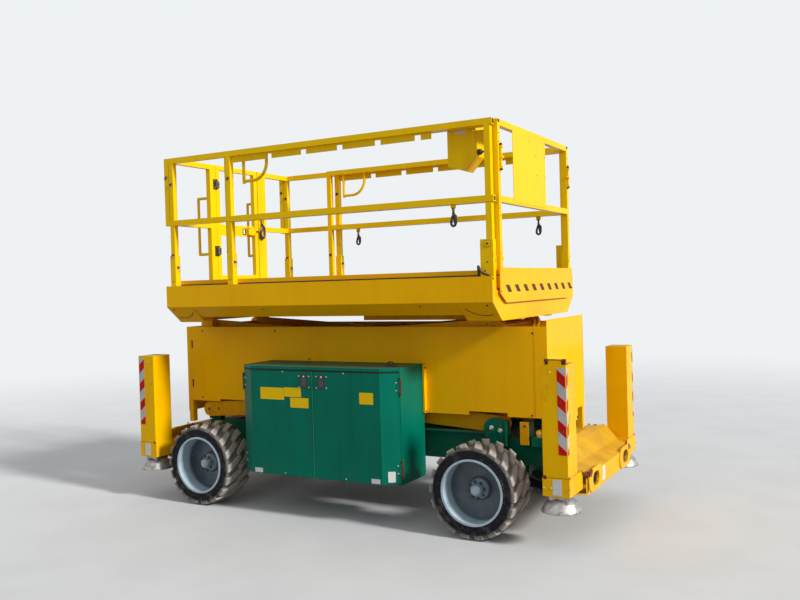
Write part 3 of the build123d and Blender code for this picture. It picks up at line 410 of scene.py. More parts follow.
def tyre_rubber():
    """Black sidewalls and tread faces worn pale by dried mud, told apart by their distance from the axle."""
    g = Graph("tyre_rubber", Specular_IOR_Level=0.15)
    flat = g.node("CombineXYZ", {0: g.axis("X"), 2: g.axis("Z")}).outputs[0]
    radius = g.vector("LENGTH", flat)["Value"]
    crumb = g.noise(34, 7, 0.72)
    rubber = g.mix(g.span(crumb, 0.35, 0.7), linear(16, 19, 27), linear(36, 37, 42))
    mud = g.mix(g.noise(19, 5, 0.6), linear(196, 190, 182), linear(156, 148, 140))
    mud = g.mix(g.patches(75, 4, 0.7, 0.52, 0.7), mud, linear(110, 102, 96))
    on_tread = g.span(g.calc("ADD", radius, g.times(crumb, 0.012)), 0.300, 0.316)
    groove = g.times(g.span(radius, 0.326, 0.316, 0.0, 0.55), on_tread)
    scuff = g.times(g.patches(12, 6, 0.7, 0.5, 0.75), 0.35)
    cover = g.most(g.calc("SUBTRACT", on_tread, groove), scuff, clamp=True)
    return g.done(g.mix(cover, rubber, mud), g.span(cover, 0, 1, 0.62, 0.95), g.bump(g.noise(130, 6, 0.7), 0.0016, 0.5))


def wheel_paint():
    """Pale blue-grey rim with patches of dust, and painted shade darkening it towards the bottom of its dish."""
    g = Graph("wheel_paint", Coat_Weight=0.15)
    base = g.mix(g.patches(9, 6, 0.66, 0.35, 0.7), linear(188, 208, 220), linear(158, 182, 194))
    # painted shade: the rim is mixed towards dark blue-grey deeper into the dish, where shade falls
    painted_dish_shade = g.times(g.span(g.off(g.axis("Y"), 0), 0.785, 0.725), g.patches(5, 4, 0.5, 0.2, 0.8, 0.8, 1.0))
    dust = g.times(g.patches(30, 6, 0.7, 0.52, 0.75), 0.3)
    base = g.mix(dust, g.mix(painted_dish_shade, base, linear(50, 60, 70)), linear(150, 138, 120))
    rounded, edge_mask = g.edges(0.003)
    base = g.mix(g.times(edge_mask, g.patches(40, 4, 0.7, 0.5, 0.6)), base, linear(214, 214, 210))
    rough = g.calc("MULTIPLY_ADD", dust, 0.5, 0.38, clamp=True)
    return g.done(base, rough, g.bump(g.noise(90, 4, 0.6), 0.0008, 0.2, rounded))


def tread_plate(colour, faded):
    """Platform floor: raised lozenges, worn bright on top."""
    g = Graph("tread_plate")
    x, y = g.axis("X"), g.axis("Y")
    diagonals, bars = (g.calc("ADD", x, y), g.calc("SUBTRACT", x, y)), []
    for along, across, shift in ((*diagonals, 0.0), (*diagonals[::-1], 0.5)):
        cell = [g.off(g.calc("FRACT", g.calc("MULTIPLY_ADD", value, 18.0, shift)), 0.5) for value in (along, across)]
        bars.append(g.times(g.span(cell[0], 0.36, 0.28), g.span(cell[1], 0.13, 0.08)))
    raised = g.most(*bars)
    base = g.mix(g.patches(3, 6, 0.65, 0.3, 0.75), linear(*colour), linear(*faded))
    base = g.mix(g.times(raised, 0.6), base, linear(176, 172, 164))
    dust = g.patches(4, 6, 0.6, 0.35, 0.8, 0.1, 0.5)
    return g.done(g.mix(dust, base, linear(116, 102, 82)), g.span(dust, 0, 1, 0.45, 0.8), g.bump(raised, 0.003, 0.9))


RUST_SPOTS = (  # place on a corner of the outriggers, radius
    (1.985, 0.585, 0.49, 0.07), (1.98, 0.53, 0.475, 0.045), (1.98, 0.66, 0.36, 0.035), (1.94, 0.88, 0.50, 0.018),
    (1.78, 0.90, 0.50, 0.018))
yellow = paint("yellow_paint", (255, 194, 0), (250, 182, 0), dust=0.10, dust_top=0.9)
yellow_low = paint("yellow_paint_low", (250, 194, 0), (238, 176, 0), dust=0.2, dust_top=0.7, rust=0.5,
                   chips=0.56, settle=0.55, settle_from=0.5, rust_spots=RUST_SPOTS)
yellow_rail = paint("yellow_paint_rails", (255, 210, 4), (250, 198, 2), dust=0.08, chips=0.6, edge=0.002)
yellow_arm = paint("yellow_paint_arms", (236, 170, 0), (216, 150, 0), dust=0.25, rust=0.25, chips=0.58)
green = paint("green_paint", (0, 116, 94), (0, 102, 83), dust=0.06, dust_top=0.6,
              chip_colour=linear(110, 160, 140), rough=0.36, chips=0.68)
green_low = paint("green_paint_low", (0, 104, 80), (0, 84, 66), dust=0.45, dust_top=0.8, chips=0.6)
rim_paint = wheel_paint()
rubber = tyre_rubber()
dark_steel = metal("dark_steel", (0.07, 0.065, 0.06), (0.03, 0.028, 0.028), 0.5, metallic=0.7)
grey_steel = metal("grey_steel", (0.5, 0.48, 0.47), (0.26, 0.24, 0.22), 0.46, metallic=0.85)
zinc = metal("zinc_plate", (0.72, 0.7, 0.66), (0.4, 0.37, 0.32), 0.34, scale=60)
rusty = metal("rusty_steel", linear(112, 58, 24)[:3], linear(60, 30, 18)[:3], 0.8, scale=50, metallic=0.15)
chrome = metal("chrome", (0.78, 0.78, 0.8), (0.62, 0.62, 0.64), 0.12, scale=8)
cast_iron = metal("cast_iron", (0.05, 0.05, 0.055), (0.09, 0.085, 0.08), 0.6, scale=20, metallic=0.3)
# black plastic parts; also the painted shadow strip under the toe boards
black_plastic = plastic("black_plastic", (0.016, 0.016, 0.018, 1))
hook_plastic = plastic("hook_plastic", (0.022, 0.014, 0.022, 1), 0.45)
red_plastic = plastic("red_plastic", linear(196, 12, 10), 0.35)
white_label = sticker("white_label", (226, 228, 230), (204, 204, 200))
yellow_label = sticker("yellow_label", (250, 208, 0), (236, 190, 4))
brown_print = sticker("brown_print", (70, 34, 10), (88, 46, 16))
# dark brown film for seams and welds; also the painted shadow along the door tops under the lids
dark_seam_and_shadow = sticker("dark_seam_and_shadow", (48, 30, 10), (34, 22, 10))
# painted highlight colour: light green for the sunlit door edge at the split
painted_seam_highlight = sticker("painted_seam_highlight", (70, 160, 128), (50, 140, 110))
floor_plate = tread_plate((138, 133, 122), (120, 114, 102))

NODE_MATERIAL = {  # by how the node's name starts; the first that fits counts, and the rest are rails
    "rim": rim_paint, "tyre": rubber, "arm": yellow_arm, "cabinet": green, "door": green, "chassis": green_low,
    "front_axle": green_low, "rear_axle": green_low, "knuckle": green_low, "outrigger_leg": grey_steel,
    "outrigger": yellow_low, "stack_guard": yellow, "engine": cast_iron, "hydraulic": cast_iron, "deck": yellow_arm,
    "main_deck": yellow, "extension_deck": yellow, "corner_cable": black_plastic,
    "lift_cylinder_barrel": cast_iron, "lift_cylinder_rod": chrome,
}
for name, node in nodes.items():
    material = next((NODE_MATERIAL[start] for start in NODE_MATERIAL if name.startswith(start)), yellow_rail)
    for material_slot in node.material_slots:
        material_slot.material = material
    if not node.material_slots:
        node.data.materials.append(material)

# --- tyres and wheels
tyre_low, tyre_high = box["tyre_front_right"]
wheel_radius = (tyre_high.z - tyre_low.z) / 2
half_width = (tyre_high.y - tyre_low.y) / 2
crown = wheel_radius - 0.027
bead_radius = 0.2283
lug_count = 18
lug_flare = 0.006  # how much wider a lug is at each side of its foot
LUG = (  # across the tread, drop of the top, shift along the tread, half width at the top, foot under the crown
    (-0.012, 0.001, -0.012, 0.017, 0.004), (0.012, 0, -0.002, 0.020, 0.004), (0.045, 0, 0.016, 0.022, 0.004),
    (0.080, 0, 0.036, 0.024, 0.004), (0.112, 0.0015, 0.052, 0.027, 0.004),
    (half_width - 0.012, 0.005, 0.064, 0.030, 0.006), (half_width - 0.0025, 0.014, 0.069, 0.031, 0.012),
    (half_width - 0.0005, 0.035, 0.072, 0.030, 0.024))
SECTION = [(radius, half_width - inset) for radius, inset in (  # half of the carcass, from the bead to mid crown
    (bead_radius, 0.03), (bead_radius, 0.016), (bead_radius + 0.006, 0.010), (bead_radius + 0.014, 0.008),
    (bead_radius + 0.018, 0.0035), (bead_radius + 0.025, 0.003), (bead_radius + 0.029, 0.0065), (crown - 0.03, 0.004),
    (crown - 0.013, 0.007), (crown - 0.003, 0.017), (crown + 0.001, 0.04), (crown + 0.003, half_width))]


def lug(build, turn, side):
    """Chevron bar from the middle of the tread, over the shoulder and a little way down the side."""
    rings = []
    for across, drop, shift, half, sunk in LUG:
        top, foot = wheel_radius - drop, crown - sunk
        corners = ((foot, -half - lug_flare), (top, -half), (top, half), (foot, half + lug_flare))
        turned = [(r, turn + side * (shift + s) / wheel_radius) for r, s in corners]
        rings.append([(r * math.cos(t), side * across, r * math.sin(t)) for r, t in turned])
    build.rings(rings)


for corner, along, side in CORNERS:
    node = f"tyre_{corner}"
    low, high = box[node]
    centre, out = (low + high) / 2, side * Y
    tyre = Build(rubber)
    other_half = [(radius, -across) for radius, across in SECTION[-2::-1]]
    tyre.lathe((0, 0, 0), Y, SECTION + other_half + [(bead_radius, 0)], sides=108)
    for k in range(lug_count):
        lug(tyre, 2 * math.pi * k / lug_count, 1)
        lug(tyre, 2 * math.pi * (k + 0.5) / lug_count, -1)
    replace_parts(tyre.make(f"tread_{corner}", node_body[node], "tyre", bevel=0.004, sharp=32, at=centre), node)

    hub = Vector((centre.x, high.y if side > 0 else low.y, centre.z))
    trim = Build(dark_steel).bolts(ring(hub - out * 0.103, X, Z, 0.060, 8, math.pi / 16), out, 0.019)
    trim.use(rim_paint).dome(hub - out * 0.07, out, [(0.031, 0), (0.027, 0.003), (0.012, 0.004)], sides=28)
    valve = hub + Vector((0.2, side * -0.118, 0.06))
    trim.use(black_plastic).pin(valve, out, 0, 0.028, 0.0045, 12).pin(valve, out, 0.028, 0.04, 0.0055, 12)
    trim.make(f"wheel_nuts_{corner}", node_body[node], "grey_steel")

# --- outrigger columns
column = box["outrigger_columns"][1]
column_size = (0.173, 0.200)
tape_z, tape_width, tape_inset, tape_phase = (0.655, 1.237), 0.056, 0.006, 1.173
film = 0.0007
foot_top = 0.5

for corner, along, side in CORNERS:
    top = column.z

    def xs(*insets):
        """Places along X, each so far in from the column's outer face."""
        return [along * (column.x - inset) for inset in insets]

    def ys(*insets):
        return [side * (column.y - inset) for inset in insets]

    def at(dx, dy, z):
        return Vector((*xs(dx), *ys(dy), z))

    tape = Build(hazard_tape(f"hazard_tape_{corner}", *xs(0), *ys(0), tape_phase))
    tape.block(xs(tape_inset, tape_inset + tape_width), ys(0, -film), tape_z)
    tape.block(xs(0, -film), ys(tape_inset, 0.036), tape_z)
    tape.make(f"tape_{corner}")

    kit = Build(zinc)
    kit.screws([at(0, dy, top - dz) for dz in (0.055, 0.5, 0.74) for dy in (0.045, 0.165)], along * X, 0.007)
    kit.screws([at(0.11, 0, top - 0.05)] + [at(dx, 0, 0.43) for dx in (-0.012, 0.118, 0.172)], side * Y, 0.006)
    if corner == "front_right":  # a rusty hinge stands on this column
        kit.use(rusty).block(xs(0.010, 0.150), ys(0.020, 0.030), (top, top + 0.032))
        kit.rod(at(0.008, 0.025, top + 0.028), at(0.152, 0.025, top + 0.028), 0.008, 14)
        for dx in (0.018, 0.142):
            kit.rod(at(dx - 0.012, 0.025, top + 0.026), at(dx + 0.012, 0.025, top + 0.026), 0.013, 16)
            kit.block(xs(dx - 0.012, dx + 0.012), ys(0.012, 0.06), (top - 0.0005, top + 0.006))
        kit.use(yellow_low).block(xs(0.034, 0.126), ys(0.016, 0.019), (top, top + 0.028))
    kit.use(dark_seam_and_shadow).block(xs(0.165, -0.006), ys(0, -0.0004), (foot_top - 0.001, foot_top + 0.0015))
    kit.make(f"column_hardware_{corner}", slot_name="grey_steel", bevel=0.0008)
    Build(white_label).face(at(0.078, -0.0001, 0.4365), side * Y, 0.062, 0.105).make(f"column_label_{corner}")

    joint = at(column_size[0] / 2, column_size[1] / 2, 0.352)
    pad = Build(cast_iron).pin(joint, Z, 0, 0.014, 0.052, 28)
    pad.bolts(ring(joint - Z * 0.0005, X, Y, 0.062, 6), Z, 0.014)
    pad.make(f"pad_joint_{corner}", f"leg_{corner}", "cast_iron")

# --- cabinets and doors
cab_low, cab_high = box["cabinet_right"]
split_x = (cab_low.x + cab_high.x) / 2
cab_outer, cab_half, cab_top = -cab_low.y, 0.733, cab_high.z
chamfer_x, chamfer_y = 0.603, 0.828
door_low, door_top = (limit.z for limit in box["door_front_right"])
hinge_z = (door_low + 0.110, door_top - 0.110)
hinge_dx, hinge_y, hinge_radius = 0.739, 0.830, 0.0076
# plan of a painted shadow strip along the door tops, standing in for the shade under the lid's overhang
lid_shadow_outline = [(0.0025, cab_outer), (chamfer_x, cab_outer), (cab_half - 0.004, chamfer_y + 0.0022),
        (cab_half - 0.0034, chamfer_y + 0.0034), (chamfer_x + 0.0003, cab_outer + 0.0012), (0.0025, cab_outer + 0.0012)]
LABELS = {  # from the split along the door, height of the middle, width, height
    "rear": ((0.3935, 0.9815, 0.233, 0.095), (0.1935, 0.9975, 0.161, 0.073), (0.1305, 0.916, 0.173, 0.078)),
    "front": ((0.483, 0.9735, 0.120, 0.087),),
}

for side_name, side in SIDES.items():
    out = side * Y
    fixed = Build(rusty)
    for end, along in ENDS.items():
        body, end_out = f"door_{end}_{side_name}", along * X
        slant = Vector((along * 0.495, side * 0.869, 0))
        hinge = Vector((split_x + along * hinge_dx, side * hinge_y, 0))

        def on_door(dx, z, lift=0.0):
            return Vector((split_x + along * dx, side * (cab_outer + lift), z))

        def on_chamfer(part, z):
            return on_door(chamfer_x + part * (cab_half - chamfer_x), z, part * (chamfer_y - cab_outer))

        latch = Build(black_plastic).face(on_door(0.082, 1.087), out, 0.066, 0.106, 0.0022, 0.008)
        latch.use(cast_iron).face(on_door(0.082, 1.079, 0.0022), out, 0.044, 0.062, 0.005, 0.006)
        latch.use(zinc).screw(on_door(0.082, 1.124, 0.0022), out, 0.008)
        latch.screws([on_door(dx, z) for dx in (0.035, 0.129) for z in (1.040, 1.127)], out, 0.0055)
        latch.screws([on_door(0.285, z) for z in (1.158, 0.352)], out, 0.006)
        latch.make(f"latch_{end}_{side_name}", body, "black_plastic", bevel=0.0012)

        labels = Build(yellow_label)
        for dx, z, width, height in LABELS[end]:
            labels.face(on_door(dx, z), out, width, height)
        labels.use(white_label).face(on_door(0.548, 0.357), out, 0.076, 0.036)
        if end == "front":
            labels.face(on_chamfer(0.49, 0.392), slant, 0.056, 0.080)
        labels.make(f"door_labels_{end}_{side_name}", body)

        trim = Build(rusty)
        for z in hinge_z:
            trim.use(rusty).pin(hinge, Z, z - 0.0445, z + 0.0445, hinge_radius, 18)
            trim.use(zinc).screws([on_chamfer(0.82, z + dz) for dz in (-0.029, 0.029)], slant, 0.006)
        # painted shadow: a dark strip along the top of the door, under the lid
        outline = [on_door(x, 0, y - cab_outer) for x, y in lid_shadow_outline]
        trim.use(dark_seam_and_shadow).prism(outline, Z, door_top - 0.008, door_top - 0.0005)
        if end == "rear":
            # painted highlight: a light green strip on the rear door's edge at the split, standing in for its sunlit
            # edge
            highlight_y = (side * cab_outer, side * (cab_outer + 0.0012))
            trim.use(painted_seam_highlight).block(about(split_x - 0.0039, 0.0015), highlight_y, (door_low + 0.001, door_top - 0.009))
        trim.make(f"door_trim_{end}_{side_name}", body, "green_paint")

        fixed.use(rusty)
        for z in hinge_z:
            for start, stop in ((-0.069, -0.0456), (0.0456, 0.069)):
                fixed.pin(hinge, Z, z + start, z + stop, hinge_radius, 18)
        end_x, places = split_x + along * cab_half, ((0.600, 1.165), (0.715, 1.165), (0.520, 0.360), (0.790, 0.360))
        fixed.use(dark_steel).screws([(end_x, side * y, z) for y, z in places], end_out, 0.0075)
        fixed.use(zinc)
        fixed.screws([(end_x, side * 0.802, z + dz) for z in hinge_z for dz in (-0.058, 0.058)], end_out, 0.0055)
    eye = Vector((split_x + 0.573, side * 0.678, cab_top))
    fixed.use(dark_steel).block(about(eye.x, 0.035), about(eye.y, 0.018), (cab_top, cab_top + 0.006))
    bend = ((-0.024, 0.004), (-0.024, 0.02), (-0.012, 0.03), (0.012, 0.03), (0.024, 0.02), (0.024, 0.004))
    fixed.hose([eye + Vector((dx, 0, dz)) for dx, dz in bend], 0.0045)
    fixed.use(zinc).screws([eye + Vector((dx, 0, 0.006)) for dx in (-0.029, 0.029)], Z, 0.005)
    fixed.make(f"cabinet_hardware_{side_name}", slot_name="dark_steel")

# --- engine and hydraulic unit, seen with a door open
low, high = box["engine_block"]


def on_engine(dx, y, dz):
    return Vector((low.x + dx, y, high.z + dz))


engine = Build(cast_iron)
for k in range(11):
    x = low.x + 0.03 + k * 0.024
    engine.block((x, x + 0.006), (low.y - 0.010, low.y), (0.52, 0.74))
engine.use(dark_steel)
engine.block((low.x + 0.02, high.x - 0.10), (low.y + 0.06, high.y - 0.07), (high.z, high.z + 0.055))
engine.block((low.x + 0.03, low.x + 0.30), (low.y - 0.018, low.y), (0.36, 0.40))
pulley = Vector((high.x - 0.115, low.y, 0.50))
engine.lathe(pulley, -Y, [(0.095, 0.0), (0.095, 0.02), (0.075, 0.03), (0.0, 0.03), (0.02, 0.03), (0.02, 0.0)], 36)
engine.bolts(ring(pulley - Y * 0.024, X, Z, 0.083, 8), -Y, 0.012)
oil_filter = Vector((low.x + 0.10, low.y, 0.45))
engine.use(red_plastic).pin(oil_filter, -Y, 0, 0.075, 0.036, 28)
air_filter = on_engine(0, -0.60, 0.115)
engine.use(black_plastic).pin(air_filter, X, 0.06, 0.40, 0.06, 36).pin(air_filter, X, 0.02, 0.06, 0.05, 36)
intake = ((0.40, -0.60, 0.115), (0.46, -0.60, 0.11), (0.50, -0.62, 0.05), (0.50, -0.64, -0.005))
engine.hose([on_engine(*place) for place in intake], 0.024, 16)
fuel = ((0.04, 0.004, 0.62), (0.10, 0.035, 0.60), (0.22, 0.042, 0.50), (0.30, 0.040, 0.44), (0.36, 0.004, 0.40))
for drop in (0.0, 0.03):
    engine.hose([(low.x + dx, low.y - dy, z - drop) for dx, dy, z in fuel], 0.008, 10)
cover_y = (low.y + 0.075, high.y - 0.085)
engine.use(zinc).bolts([on_engine(dx, y, 0.055) for dx in (0.05, 0.16, 0.27, 0.38) for y in cover_y], Z, 0.012)
near, far = low.x + 0.02, high.x - 0.02
places = ((near, 0.35), (low.x + 0.30, 0.35), (far, 0.35), (far, 0.75), (near, 0.76))
engine.bolts([(x, low.y, z) for x, z in places], -Y, 0.014)
engine.use(black_plastic).block((0.20, 0.46), (-0.80, -0.58), (0.3315, 0.52)).use(red_plastic)
for x in (0.25, 0.41):
    engine.dome((x, -0.72, 0.52), Z, [(0.014, 0), (0.014, 0.012), (0.010, 0.018)])
engine.use(zinc).block((0.19, 0.47), (-0.70, -0.68), (0.5205, 0.527))
engine.make("engine_parts", slot_name="cast_iron", bevel=0.003)

low, high = box["hydraulic_tank"]
middle_x = (low.x + high.x) / 2
tank = Build(dark_steel)
for x in (low.x + 0.10, high.x - 0.10):
    tank.block(about(x, 0.018), (high.y, high.y + 0.003), (low.z + 0.01, high.z))
    tank.block(about(x, 0.018), (low.y + 0.01, high.y + 0.003), (high.z, high.z + 0.003))
tank.use(black_plastic).dome((low.x + 0.14, 0.66, high.z), Z, [(0.045, 0), (0.045, 0.022), (0.038, 0.03)], 28)
tank.use(zinc).block(about(middle_x, 0.014), (high.y, high.y + 0.008), (0.62, 0.78))
tank.use(yellow_label).face((middle_x + 0.13, high.y, 0.66), Y, 0.09, 0.06)
tank.use(dark_steel).block((0.20, 0.42), (0.58, 0.76), (0.3315, 0.50))
for k in range(4):
    port, y = Vector((0.23 + k * 0.053, 0.67, 0.50)), 0.62 - 0.02 * k
    tank.use(zinc).pin(port, Z, 0, 0.05, 0.012, 16)
    bend = [port + Vector(step) for step in ((0, 0, 0.05), (-0.01, 0, 0.12), (-0.07, -0.03 + 0.01 * k, 0.17))]
    tank.use(black_plastic).hose([*bend, (0.13 - 0.002 * k, y, 0.60), (0.121, y, 0.56)], 0.009)
tank.make("tank_parts", slot_name="cast_iron", bevel=0.002)

# --- stack guard
guard_y, (guard_low, guard_high) = 0.438, box["stack_guard"]
guard = Build(dark_steel)
places = ((-1.609, 1.452), (-0.787, 1.453), (-0.435, 1.215), (-1.626, 0.845), (1.549, 1.438), (1.533, 0.834))
for side in BOTH:
    guard.use(dark_steel).screws([(x, side * guard_y, z) for x, z in places], side * Y, 0.0085)
    guard.bolts([(0.668, side * 0.457, z) for z in (0.829, 1.167)], X, 0.014).use(dark_seam_and_shadow)
    for z in (0.972, 1.328):
        guard.block((guard_low.x + 0.036, guard_low.x + 0.074), (side * 0.4325, side * 0.4345), about(z, 0.05))
    guard.use(yellow)
    guard.block((1.560, guard_high.x - 0.0005), (side * guard_y, side * (guard_y + 0.0015)), (0.8165, 1.4865))
guard.use(rusty).block((guard_high.x - 0.0005, guard_high.x + 0.0004), (0.4345, 0.4384), (0.96, 1.46))
guard.use(dark_steel).bolt((guard_high.x, 0.235, 0.730), X, 0.016)
guard.make("guard_hardware", bevel=0.0006)

# --- arms and cylinder
pivot, rise, reach, arm_outer = Vector((-1.570, 0, 0.740)), 0.185, 2.8139, 0.415


def pin_cap(build, at, side, along):
    """End of a pivot pin with its cover, its keeper and two screws."""
    out = side * Y
    at = Vector((at.x, side * arm_outer, at.z))
    build.use(yellow_arm).dome(at, out, [(0.040, 0), (0.040, 0.003), (0.036, 0.005)], 28)
    build.use(cast_iron).dome(at + out * 0.005, out, [(0.014, 0), (0.014, 0.0012), (0.010, 0.0018)], 18)
    build.dome(at + along * 0.108, out, [(0.012, 0), (0.012, 0.002), (0.009, 0.003)], 18)
    build.use(rusty).screws([at + along * 0.058 + Z * lift for lift in (-0.03, 0.03)], out, 0.005)


for level in range(1, 5):
    foot = pivot + Z * rise * (level - 1)
    head = foot + X * reach + Z * rise
    slope = (head - foot).normalized()
    caps = Build(yellow_arm)
    for side in BOTH:
        for at, along in ((foot, slope), (head, -slope), ((foot + head) / 2, slope)):
            pin_cap(caps, at, side, along)
    caps.make(f"pin_caps_{level}", node_body[f"arm_{level}_outer"])

barrel_foot, rod_eye = Vector((1.0444, 0, 0.7531)), Vector((-1.2706, 0, 1.0903))
push = (rod_eye - barrel_foot).normalized()
over_ram = -basis(push)[2]
ram = Build(cast_iron)
collar = [(0.0385, -0.02), (0.0630, -0.02), (0.0630, 0.006), (0.0585, 0.012), (0.0385, 0.012)]
ram.lathe(rod_eye - push * 0.150, push, collar, 40)
ram.lathe(barrel_foot, push, [(0.0601, 0.082), (0.0628, 0.084), (0.0628, 0.096), (0.0601, 0.098)], 40)
ram.use(grey_steel)
for distance in (0.14, 2.10):
    ram.pin(barrel_foot + push * distance, over_ram, 0.056, 0.078, 0.014, 18)
ram.make("cylinder_fittings", "cylinder_barrel", "cast_iron", bevel=0.001)

# --- chassis
chassis = Build(zinc)
for side in BOTH:
    out = side * Y
    chassis.use(zinc).bolts([(x, side * 0.432, z) for x, z in ((1.204, 0.726), (1.273, 0.708))], out, 0.030)
    chassis.use(yellow_arm).block((1.431, 1.500), (side * 0.4315, side * 0.4335), (0.612, 0.783))
    chassis.use(cast_iron).dome((1.470, side * 0.4335, 0.752), out, [(0.011, 0), (0.011, 0.002), (0.008, 0.003)])
    chassis.use(green_low).block((1.515, 1.598), (side * 0.36, side * 0.43), (0.602, 0.672))
    eye = Vector((1.577, side * 0.431, 0.704))
    chassis.use(yellow).rod((eye.x, side * 0.38, eye.z), eye, 0.024, 28)
    chassis.block((1.560, 1.594), (side * 0.385, side * 0.425), (0.672, 0.704)).use(zinc).bolt(eye, out, 0.022)
chassis.make("chassis_hardware", slot_name="green_paint", bevel=0.0012)

beam_face, beam_top = column.x + 0.0395, box["outrigger_beams"][1].z
beams = Build(white_label)
for along in ENDS.values():
    beams.use(white_label).face((along * beam_face, along * -0.196, 0.403), along * X, 0.086, 0.100)
    beams.use(dark_steel)
    beams.bolts([(along * x, y, beam_top) for y in (-0.5488, 0.5488) for x in (1.712, 1.657)], Z, 0.016).use(rusty)
    for side in BOTH:
        beams.tube([(along * 1.9835, side * 0.590, z) for z in (0.345, 0.455)], 0.003, 8)
beams.make("beam_hardware")

# --- platform deck
deck_low, deck_high = box["main_deck"]
deck_half, skirt_foot = deck_high.y, 1.681
weld = ((0.040, 0.665), (0.085, 0.70), (0.128, 0.695), (0.189, 0.573), (0.240, 0.335))
deck = Build(dark_seam_and_shadow)
for side in BOTH:
    valance_out, gusset_out = Vector((0, side * 0.553, -0.833)), Vector((0, side * 0.638, -0.770))
    deck.use(dark_steel).screws([(x, side * 0.862, 1.656) for x in (-0.57, 0.85)], valance_out, 0.008)
    deck.use(dark_seam_and_shadow)
    for end_x, inward in ((deck_low.x, 1), (deck_high.x, -1)):
        def on_gusset(dx, part):
            return Vector((end_x + inward * dx, side * (deck_half - 0.164 * part), skirt_foot - 0.136 * part))

        deck.tube(smooth_path([on_gusset(*place) for place in weld], 4), 0.0028, 8)
        deck.screw(on_gusset(0.055, 0.17), gusset_out, 0.008)
deck.make("deck_hardware", "platform")

ext_low, ext_high = box["extension_deck"]
toe_y = 0.785
sheet = Build(floor_plate)
sheet.block((deck_low.x + 0.008, deck_high.x - 0.008), about(0, deck_half - 0.012), (1.763, 1.76325))
sheet.make("floor_sheet_main", "platform", "grey_steel")
sheet = Build(floor_plate).block((ext_low.x + 0.002, ext_high.x - 0.008), about(0, toe_y - 0.001), (1.782, 1.7826))
sheet.make("floor_sheet_extension", "extension", "grey_steel")

apron = Build(brown_print)
for y in (-0.720 + 0.174 * k for k in range(9)):
    outline = ((0, 1.798), (0.070, 1.798), (0.123, 1.746), (0.053, 1.746))
    apron.prism([(ext_high.x, y + dy, z) for dy, z in outline], X, 0, 0.0006)
apron.use(dark_steel).screws([(ext_high.x, y, 1.754) for y in (-0.797, 0.797)], X, 0.0065).use(black_plastic)
# painted shadow: a black strip along each toe board just above the skirt, standing in for the shadow gap there
for side in BOTH:
    apron.block((ext_low.x, ext_high.x - 0.006), (side * (toe_y + 0.003), side * (toe_y + 0.0038)), (1.863, 1.872))
apron.make("extension_trim", "extension")


# --- rails
def locking_pin(build, at, axis, half, ring_side=1):
    """Rusty pin through a post, with a thin wire ring at one end."""
    at, reach_out = Vector(at), half + 0.015
    build.use(rusty).pin(at, axis, -reach_out, reach_out, 0.0075, 12)
    for s in BOTH:
        build.dome(at + s * axis * half, s * axis, [(0.014, 0), (0.014, 0.002), (0.011, 0.003)], 16)
    hang = at + ring_side * axis * (reach_out - 0.004) - Z * 0.014
    build.use(grey_steel).loop(ring(hang, axis.cross(Z) * 0.015, Z * 0.020, 1, 18), axis, 0.0012, 6)


def harness_hook(build, at, across, face, size=1.0):
    """Yellow tab with a dark snap hook hanging from it."""
    at, down = Vector(at), -Z * size
    tab = ((-0.020, 0.002), (0.020, 0.002), (0.020, -0.022), (0.010, -0.036), (-0.010, -0.036), (-0.020, -0.022))
    build.use(yellow_rail).prism([at + across * a + Z * b for a, b in tab], face, -0.0025, 0.0025)
    swivel = at - Z * 0.030
    build.use(hook_plastic).loop(ring(swivel + down * 0.012, face * 0.011, Z * 0.018 * size, 1, 16), across, 0.0045, 8)
    build.dome(swivel + down * 0.024, -Z, [(0.008, 0), (0.011, 0.006), (0.011, 0.014), (0.008, 0.02)], 16)
    centre = swivel + down * 0.084
    snap = ((0.006, 0.042), (0.018, 0.030), (0.020, 0.008), (0.018, -0.018), (0.010, -0.036), (-0.004, -0.041),
            (-0.016, -0.032), (-0.020, -0.016), (-0.017, -0.002), (-0.012, 0.012), (-0.008, 0.030))
    build.loop([centre + across * a * size - down * b for a, b in snap], face, 0.0095 * size)
    latch_ends = (centre + across * 0.004 * size - down * 0.040, centre + across * 0.012 * size + down * 0.036)
    build.rod(*latch_ends, 0.0075 * size, 10)
    build.block(about(centre.x, 0.006), about(centre.y, 0.006), (centre.z + 0.034 * size, centre.z + 0.05 * size))


rail_y, rail_half, post_half, post_rear, post_mid, post_front = 0.820, 0.0225, 0.029, -1.543, -0.914, 1.400
mid_foot = 2.380
fixed = Build(rusty)
for side in BOTH:
    out = side * Y
    for x, z in ((post_rear, 2.735), (post_rear, 2.125), (-1.5955, 2.797), (post_mid, 2.735)):
        locking_pin(fixed, (x, side * rail_y, z), Y, rail_half, side)
    for x, z in ((post_rear, 2.020), (post_mid, 2.045)):
        locking_pin(fixed, (x, side * rail_y, z), X, post_half)
    stop = Vector((1.388, side * (rail_y + post_half), 2.089))
    fixed.use(brown_print).face(stop, out, 0.050, 0.048, 0.0006, 0.003)
    fixed.use(yellow_rail).face(stop + out * 0.0006, out, 0.044, 0.042, 0.004, 0.003)
    fixed.use(dark_steel).bolt(stop + out * 0.0046, out, 0.014)
    places = ((1.384, 1.961), (post_rear, 1.900), (post_mid, 1.900), (1.366, 1.900))
    fixed.screws([(x, stop.y, z) for x, z in places], out, 0.006).use(rusty)
    for z, size in ((2.9375, 0.034), (2.4025, 0.030)):
        for x, end_out in ((1.439, X), (-1.618, -X)):
            fixed.face((x, side * rail_y, z), end_out, size, size, 0.0007)
    fixed.use(yellow_rail)
    for y, z in ((0.830, 2.010), (0.808, 1.975)):
        fixed.face((1.429, side * y, z), X, 0.020, 0.022, 0.004, 0.002)
    fixed.use(dark_seam_and_shadow)
    for x in (post_rear, post_mid, post_front):
        fixed.block(about(x, 0.023), (side * 0.8415, side * 0.8429), (mid_foot - 0.0017, mid_foot))
for x, y in ((1.120, -rail_y), (1.168, rail_y), (-0.690, rail_y)):
    harness_hook(fixed, (x, y, mid_foot), X, Y)
fixed.make("rail_hardware", "platform")

